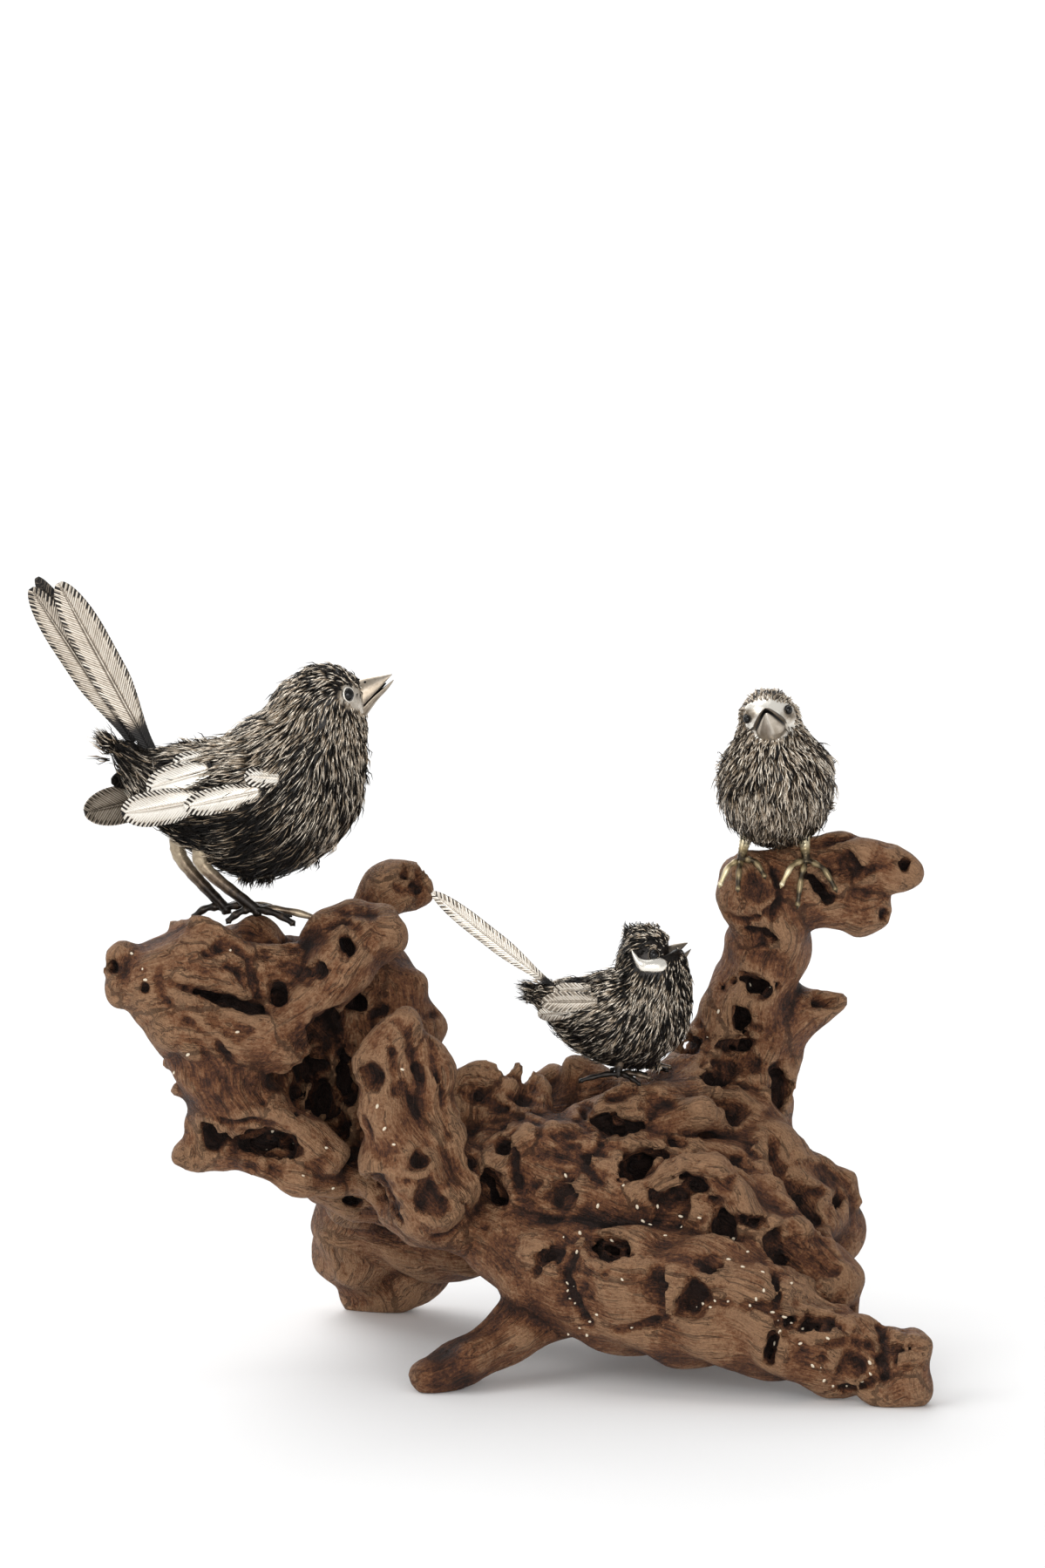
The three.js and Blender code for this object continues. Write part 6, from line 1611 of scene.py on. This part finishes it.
# Each beak half: [x, z] of its mouth line, height from there, half width
heads = {
    "grown_bird": {
        "centre": (22, 0, 64), "roll": 0, "slot": "silver_beak", "beakShade": 0.54,
        "upper": [[31, 61.0, 6.2, 3.4], [33, 62.9, 6.2, 3.0], [35.5, 65.4, 5.6, 2.5],
                  [38, 67.9, 3.4, 1.6], [40, 69.9, 1.3, 0.7], [41.2, 71.0, 0.2, 0.2]],
        "lower": [[31.4, 60.0, 2.6, 2.8], [33.6, 62.5, 2.2, 2.5], [36.0, 64.9, 1.7, 2.0],
                  [38.8, 67.2, 1.2, 1.2], [40.7, 68.8, 0.6, 0.55], [41.6, 69.5, 0.15, 0.15]],
        "mouthShadow": [[32, 61.4, 0.7], [36, 65.3, 0.6], [39.4, 68.5, 0.2]], "eye": [28.4, 66.4, 1.95],
        "socket": 0.9, "nostril": (33.4, 68.9, 0.42),
    },
    "crested_chick": {
        "centre": (7, 0, 35), "roll": 0, "slot": "dark_beak", "beakShade": 0.36,
        "upper": [[9.4, 33.0, 3.7, 2.9], [12.1, 34.4, 3.5, 2.5], [14.4, 36.2, 2.4, 1.6],
                  [16.2, 37.8, 0.9, 0.7], [16.9, 38.4, 0.15, 0.12]],
        "lower": [[10.2, 31.8, 2.3, 2.6], [12.8, 33.0, 2.2, 2.3], [14.8, 34.5, 1.7, 1.6],
                  [16.6, 35.9, 0.9, 0.8], [17.8, 36.7, 0.15, 0.12]],
        "mouthShadow": [[10.6, 33.0, 0.8], [13.4, 34.8, 0.7], [15.4, 36.2, 0.3]], "eye": [7.0, 36.3, 1.55],
        "socket": 0.3,
    },
    "round_chick": {
        "centre": (6, -1.9, 42), "roll": 12.5, "slot": "silver_beak", "beakShade": 0.6,
        "upperShade": 0.44, "rim": 0.6,
        "upper": [[11, 40.2, 3.2, 4.9], [15, 41.9, 3.2, 4.8], [17.6, 43.9, 2.6, 3.7],
                  [19.8, 45.8, 1.8, 2.4], [21.4, 47.2, 1.0, 1.2], [22.1, 47.9, 0.3, 0.35]],
        "lower": [[11, 39.2, 3.4, 4.4], [14.8, 40.7, 3.2, 4.15], [17.3, 42.6, 2.4, 3.1],
                  [19.4, 44.5, 1.6, 1.9], [20.9, 45.9, 0.8, 0.85], [21.5, 46.5, 0.2, 0.25]],
        "mouthShadow": [[12, 40.0, 0.8, 4.4], [15, 41.4, 0.7, 4.2], [17.6, 43.4, 0.6, 3.1],
                   [19.8, 45.3, 0.5, 1.9], [21.0, 46.4, 0.3, 0.7]],
        "eye": [11.3, 44.3, 1.2], "socket": 0.25, "eyeReach": 5.9,
    },
}

# Each leg: hip, knee, ankle, how high the toes arch, and their tips, the first one in front
legs = {
    "grown_bird": {
        "thick": 1.6, "material": "bronze", "shine": 0.85,
        "right": [[-10, -6, 25.4], [-13.6, -6.4, 17.4], [1.4, -6, 4.2], 0.8,
                  [[20, -6.5, 1], [13, -11, 0.5], [12, -2.5, 1.5], [-6, -7.5, 0.5]]],
        "left": [[-20, 6, 25], [-19.4, 5.6, 16.4], [-7.4, 5, 2.6], 1.2,
                 [[10, 6, 1], [4, 10, 0.5], [6, 1.5, 1.5], [-16, 5, -0.5]]],
    },
    "crested_chick": {
        "thick": 1.1, "material": "bronze", "shine": 0.55,
        "right": [[-2, -5, 8], [-2.6, -5.6, 5], [-3, -6, 1.6], 0.3,
                  [[6, -7, 0.4], [3, -11, -0.6], [5, -3, 0.6], [-14, -6.5, -0.6]]],
        "left": [[3, 5, 8], [3, 5, 5], [3, 5, 1.6], 0.3,
                 [[12, 5, 1.2], [9, 9, 0.8], [11, 1.5, 1], [-5, 5.5, 0.4]]],
    },
    "round_chick": {
        "thick": 1.2, "material": "brass", "shine": 0.9,
        "right": [[0, -7.6, 9], [2.2, -8.8, 5], [4.6, -9.8, 1], 2.2,
                  [[8.4, -16, -6], [10, -10.8, -7], [8.6, -3, -3.4], [-5, -9, 1.4]]],
        "left": [[0, 8, 9], [2, 8.4, 5], [4, 8.8, 1], 2.2,
                 [[8.4, 1.6, -6], [8.6, 6.3, -12], [8, 17.4, -7.4], [-5, 8.6, 1.4]]],
    },
}


beakShape = {
    "bulge": 0.9,  # below one, the outside is rounder
    "mouthSide": 0.1,  # height of the mouth side against the outside
    "pinch": 0.1, "mouthShade": 0.2, "ridgeHighlight": 0.15, "sideShade": 0.12,
# painted shade on the mouth side and flanks, painted highlight on the ridge
}


def rolled(points, head):
    centre = np.array(head["centre"], float)
    turn = math.radians(head["roll"])
    matrix = np.array([[1, 0, 0], [0, math.cos(turn), -math.sin(turn)], [0, math.sin(turn), math.cos(turn)]])
    return (points - centre) @ matrix.T + centre


def alongMouth(rows, head, sides, keel=None):
    # Rod through rows [x, z, height, half width] on the middle of the head; the width can be left out
    path = np.stack([rows[:, 0], np.full(len(rows), head["centre"][1]), rows[:, 1]], 1)
    wide = rows[:, 3] / rows[:, 2] if rows.shape[1] > 3 else 1
    return sweep(path, rows[:, 2], sides, wide, keel)


def makeBeak(bird):
    name, shape = bird["name"], beakShape
    head = heads[name]
    for part, outer in (("upper", 1), ("lower", -1)):

        def keel(angle):
            # rounded to a ridge on the outside, flat on the mouth side
            facing = np.sin(angle) * outer
            size = np.abs(facing)
            reach = np.where(facing > 0, size ** shape["bulge"], shape["mouthSide"] * size)
            across = np.cos(angle) * (1 - shape["pinch"] * np.maximum(facing, 0))
            return np.stack([across, reach * outer * np.sign(facing)])

        points, faces, share, turn = alongMouth(smoothRows(head[part], 30), head, 32, keel)
        facing = np.sin(turn) * outer
        shade = head.get(part + "Shade", head["beakShade"]) * (0.9 + 0.2 * share)
        # painted shade on the mouth side and where the flanks turn away, a painted highlight along the ridge
        shade *= np.where(facing < -head.get("rim", 0.2), shape["mouthShade"], 1.0)
        shade += shape["ridgeHighlight"] * smoothStep(0.93, 1.0, facing)
        shade -= shape["sideShade"] * smoothStep(0.35, 0.0, np.abs(facing))
        pile = Pile()
        pile.add(rolled(points, head), faces, shade)
        if part == "upper" and "nostril" in head:
            x, z, radius = head["nostril"]
            tree = BVHTree.FromPolygons(points.tolist(), faces.tolist())
            for side in (-1, 1):
                pile.add(*ballMesh((x, side * (reachOf(tree, x, z, side) - 0.2), z), radius), 0.0)
        # a dark rod between the halves paints the shade inside the open mouth
        if part == "lower":
            points, faces = alongMouth(smoothRows(head["mouthShadow"], 12), head, 12)[:2]
            pile.add(rolled(points, head), faces, 0.0)
        pile.make(f"{name}_{part}_bill", bird, ["beak_silver"], [f"{name}_beak_{part}"])


# in radii of the eye
eyelidShape = {"radius": 1.06, "halfWidth": 0.12, "halfDepth": 0.16, "forward": 0.25, "eyeSunk": 0.1}


def lidRing(centre, out, radius, shape, sides=24, sectionSides=8):
    # Ring of metal round an eye
    first = unit(np.cross(out, np.array([0, 0, 1.0])))
    second = np.cross(out, first)
    a = np.linspace(0, 2 * np.pi, sides + 1)[:-1, None, None]
    b = np.linspace(0, 2 * np.pi, sectionSides + 1)[:-1, None]
    spoke = np.cos(a) * first + np.sin(a) * second
    points = centre + out * radius * shape["forward"]
    points = points + spoke * radius * (shape["radius"] + shape["halfWidth"] * np.cos(b))
    points = (points + out * radius * shape["halfDepth"] * np.sin(b)).reshape(-1, 3)
    number = np.arange(len(points)).reshape(sides, sectionSides)
    right, up = np.roll(number, -1, 0), np.roll(number, -1, 1)
    both = np.roll(right, -1, 1)
    faces = [np.stack(corners, -1).reshape(-1, 3) for corners in ((number, right, both), (number, both, up))]
    return points, turnedOut(points, np.concatenate(faces))


def makeEyes(bird, tree):
    name = bird["name"]
    head = heads[name]
    x, z, radius = head["eye"]
    middleX, middleY, middleZ = head["centre"]
    for part, side in (("right", -1), ("left", 1)):
        if "eyeReach" in head:
            reach = head["eyeReach"]
        else:
            reach = reachOf(tree, x, z, side) - eyelidShape["eyeSunk"] * radius
        centre = rolled(np.array([[x, middleY + side * reach, z]]), head)[0]
        out = unit(centre - np.array([middleX - 2, middleY, middleZ]))
        pile = Pile()
        pile.add(*ballMesh(centre, radius), 0.0)
        # ring round the eye: dark rings paint the shade of a sunk socket, a bright one is polished silver
        pile.add(*lidRing(centre, out, radius, eyelidShape), head["socket"], kind=1)
        looks = ["eye_black", "skin_silver"]
        pile.make(f"{name}_{part}_eyeball", bird, looks, [f"{name}_eye_{part}"])


legShape = {
    "shank": 0.84, "thigh": 1.05, "heel": 0.16,  # thickness, and how much more the ends have
    "scales": (14, 0.05),  # how many, and how deep
    "toe": 0.78, "toeTaper": 0.22,
    "knuckles": (3.5, 0.14),
    "claw": (0.84, 0.85),  # where on the toe it starts, and how much it tapers
    "otherToes": 0.6,  # shade of the toes of a bronze leg after the first
}


def makeLegs(bird):
    name, shape = bird["name"], legShape
    table = legs[name]
    thick, metal = table["thick"], table["material"]
    scales, scaleDepth = shape["scales"]
    knuckles, knuckleDepth = shape["knuckles"]
    clawFrom, clawTaper = shape["claw"]
    for part in ("right", "left"):
        hip, knee, ankle, bow, toes = table[part]
        pile = Pile()
        ankle = np.array(ankle, float)
        rows = smoothRows([hip, knee, ankle, ankle + np.array([0.4, 0, -0.8])], 40)
        share = np.linspace(0, 1, len(rows))
        swell = shape["thigh"] * (1 - share) ** 2
        radii = thick * (shape["shank"] + swell + shape["heel"] * smoothStep(0.6, 0.95, share))
        radii *= 1 + scaleDepth * np.sin(share * 2 * np.pi * scales)
        points, faces, along, turn = sweep(rows, radii, 14)
        # the front of the leg is painted lighter, a painted highlight; the thigh is paler silver
        shade = 0.2 + 0.6 * smoothStep(0.62, 0.3, along) + 0.2 * np.maximum(0, np.sin(turn)) * (1 - along)
        pile.add(points, faces, shade * table["shine"])
        for k, tip in enumerate(toes):
            tip = np.array(tip, float)
            start = ankle + np.array([0, 0, -0.3])
            middle = ankle * 0.4 + tip * 0.6 + np.array([0, 0, bow])
            claw = tip - np.array([0, 0, 0.5]) + unit(tip - middle) * 0.5
            rows = smoothRows([start, start * 0.55 + middle * 0.45 + np.array([0, 0, 0.3]), middle,
                               tip * 0.8 + middle * 0.2, claw], 34)
            share = np.linspace(0, 1, len(rows))
            radii = thick * (shape["toe"] - shape["toeTaper"] * share)
            radii *= 1 + knuckleDepth * np.cos(share * 2 * np.pi * knuckles)
            radii *= np.where(share > clawFrom, 1 - clawTaper * (share - clawFrom) / (1 - clawFrom), 1)
            points, faces, along = sweep(rows, radii, 12)[:3]
            shade = 0.34 + 0.6 * along * (k == 0) + 0.12 * np.cos(along * 2 * np.pi * knuckles)
            shade *= 1 - 0.3 * (along > 0.86)
            if k > 0 and metal == "bronze":
                shade = shade * shape["otherToes"]
            pile.add(points, faces, shade * table["shine"])
        looks, nodes = ["leg_" + metal], [f"{name}_leg_{part}"]
        pile.make(f"{name}_{part}_foot", bird, looks, nodes)


# Polished plate under the eye of the crested chick: seen upper and lower edges, [x, z]
cheekEdges = {
    "upper": [[0.9, 34.4], [1.9, 33.2], [3.3, 31.9], [5.2, 31.4], [7.0, 31.6], [8.8, 31.8], [10.4, 31.2]],
    "lower": [[1.1, 32.8], [2.0, 30.2], [3.4, 28.3], [5.6, 27.9], [7.8, 27.8], [9.6, 28.2], [10.8, 29.6]],
}
cheekShape = {"rows": 30, "columns": 9, "offSkin": 0.35, "dome": 0.9, "sunk": 0.4, "shade": 1.05}


def makeCheeks(bird, tree, shape, far=60):
    # Thin domed plates that follow the skin
    rows, columns = shape["rows"], shape["columns"]
    upper, lower = (smoothRows(cheekEdges[key], rows) for key in ("upper", "lower"))
    share = np.linspace(0, 1, columns)[None, :, None]
    seen = upper[:, None] * (1 - share) + lower[:, None] * share
    dome = np.sin(np.pi * np.linspace(0.06, 0.94, rows))[:, None]
    dome = dome * np.sin(np.pi * np.linspace(0.1, 0.9, columns))
    pile = Pile()
    for side in (-1, 1):
        front, back = np.zeros((2, rows, columns, 3))
        for i, j in np.ndindex(rows, columns):
            x, z = seen[i, j]
            start = Vector((x, side * far, z + sightDrop * (far + bird["near"])))
            found = tree.ray_cast(start, Vector((0, -side, -sightDrop)))
            hit, out = np.array(found[0]), np.array(found[1])
            front[i, j] = hit + out * (shape["offSkin"] + shape["dome"] * dome[i, j])
            back[i, j] = hit - out * shape["sunk"]
        pile.add(*closedSheet(front, back), shape["shade"])
    pile.make(bird["name"] + "_cheeks", bird, ["beak_silver"], [])


for seed, bird in enumerate((grownBird, crestedChick, roundChick), 5):
    skinPoints, skinFaces = bodyMesh(bird)
    skinTree = BVHTree.FromPolygons(skinPoints.tolist(), skinFaces.tolist())
    makePlumage(bird, skinPoints, skinFaces, seed)
    makePlates(bird, skinTree)
    makeBeak(bird)
    makeEyes(bird, skinTree)
    makeLegs(bird)
    if bird is crestedChick:
        makeCheeks(bird, skinTree, cheekShape)
    print("stage:", bird["name"])

# Specks on the wood: pale seed-like flecks in rows and clusters, [x, height], as met from the front
specks = [
    [98, 7], [95.6, 4.6], [94.4, 1.6], [94.2, -1.4], [95.4, -4], [97.4, -6], [100, -7.2], [104, -7.4],
    [108.4, -6], [110.4, -3.4], [110.6, -0.6], [101.6, 5.2], [96.4, -1.8], [97, 1.2], [61.4, 15],
    [63, 16.4], [65, 15.6], [66.4, 17.4], [68.6, 16.2], [70.4, 17], [72.6, 16], [74.6, 17.4],
    [76.4, 15.6], [78, 17.8], [80.4, 20.2], [82.6, 14], [84, 11.4], [84.6, 8.4], [83.2, 5], [86, 13],
    [88.4, 10.8], [91, 8.6], [93.6, 8.8], [24.4, 22], [24.2, 19.8], [25, 17.6], [26.4, 16], [26.2, 21],
    [28, 9], [31, 10.8], [33, 13], [30, 7], [25, 7], [27, 31], [23, 35], [28, 36], [37, 34.5], [43, 9],
    [40, 23], [46, 40], [48, 38.6], [57, 38], [57, 41], [62, 41], [77, 108], [83, 107], [68, 100],
    [65, 93], [30, 48], [33, 44.4], [24, 53], [44, 44], [50, 43.6], [72, 34.6], [75.4, 31], [74, 27],
    [80, 25.4], [88, 22], [70, 29], [90.4, 5], [40, 50], [52, 36], [-100, 117], [-97, 113], [-96, 109.6],
    [-70, 95], [-60, 66], [-54.4, 62], [-45, 60.6], [-41.6, 59], [-86, 92], [-84, 88.4], [-88, 83],
    [-52, 52.6], [-43, 49], [-41, 44.4], [-62, 60], [-30, 73], [-25, 62], [-28, 66.4], [-23, 84],
    [-77, 110], [-72, 118],
]
speckLook = {
    "colours": ("#b9a58a", "#e9dfca"),
    "roughness": 0.5,
    "halfLength": 0.82, "halfWidth": 0.48, "height": 0.4,
    "size": (0.75, 1.1),
    "scatter": 0.15,
}


def makeSpecks(field, table, look):
    material, tree, shader = newMaterial("fleck_cream")
    noise = noiseNode(tree, 900.0, 2.0)["Fac"]
    tint = mixColour(tree, noise, *(colourOf(code) for code in look["colours"]))
    feed(tree, shader, {"Base Color": tint, "Roughness": look["roughness"]})
    rng = np.random.default_rng(3)
    pile = Pile()
    points, faces = ballMesh((0, 0, 0), 1.0, rings=6, sides=8)
    for x, height in table:
        hit = field.firstHit(x + rng.normal(0, look["scatter"]), height + rng.normal(0, look["scatter"]))
        if hit is None:
            continue
        turn = rng.uniform(0, np.pi)
        way = np.array([math.cos(turn), 0, math.sin(turn)])
        across = np.array([-math.sin(turn), 0, math.cos(turn)])
        spread = points[:, :1] * way * look["halfLength"] + points[:, 1:2] * across * look["halfWidth"]
        spread = spread + points[:, 2:] * sightWay * look["height"]
        pile.add(hit + rng.uniform(*look["size"]) * spread, faces, 1.0)
    piece = meshObject("driftwood_flecks", np.concatenate(pile.points) + driftwoodShape["middle"],
                       np.concatenate(pile.faces), [material])
    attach(piece, "root")


makeSpecks(woodField, specks, speckLook)
print("stage: specks")

# Floor and light

lightSetup = {
    "world": 0.47,
    "floor": "#f6f6f6", "floorRoughness": 0.9, "floorHalf": 30000,
    # name: direction the light comes from, width of the source in degrees, strength
    "suns": {
        "top": ((-0.35, 0.3, 1.0), 50, 0.9),
        "back": ((-0.3, 1.0, 0.45), 60, 1.8),
        "side": ((-1.0, -0.7, 0.8), 40, 0.75),
        "low": ((0.1, -1.0, 0.08), 50, 2.5),
    },
}


def makeFloor(setup):
    material, tree, shader = newMaterial("floor")
    feed(tree, shader, {"Base Color": colourOf(setup["floor"]), "Roughness": setup["floorRoughness"]})
    half = setup["floorHalf"]
    corners = [(-half, -half, 0), (half, -half, 0), (half, half, 0), (-half, half, 0)]
    meshObject("floor", corners, [[0, 1, 2, 3]], [material], smooth=False)


def makeSun(name, towards, width, strength):
    data = bpy.data.lights.new(name, "SUN")
    data.angle = math.radians(width)
    data.energy = strength
    placeObject(name, data).rotation_euler = Vector(towards).to_track_quat("Z", "Y").to_euler()


def makeWorld(strength):
    world = bpy.data.worlds.new("studio")
    world.use_nodes = True
    feed(world.node_tree, world.node_tree.nodes["Background"], {"Color": (1, 1, 1, 1), "Strength": strength})
    bpy.context.scene.world = world


makeFloor(lightSetup)
for sunName, (towards, width, strength) in lightSetup["suns"].items():
    makeSun(sunName, towards, width, strength)
makeWorld(lightSetup["world"])
bpy.context.scene.view_settings.view_transform = "Standard"
print("stage: floor and light")
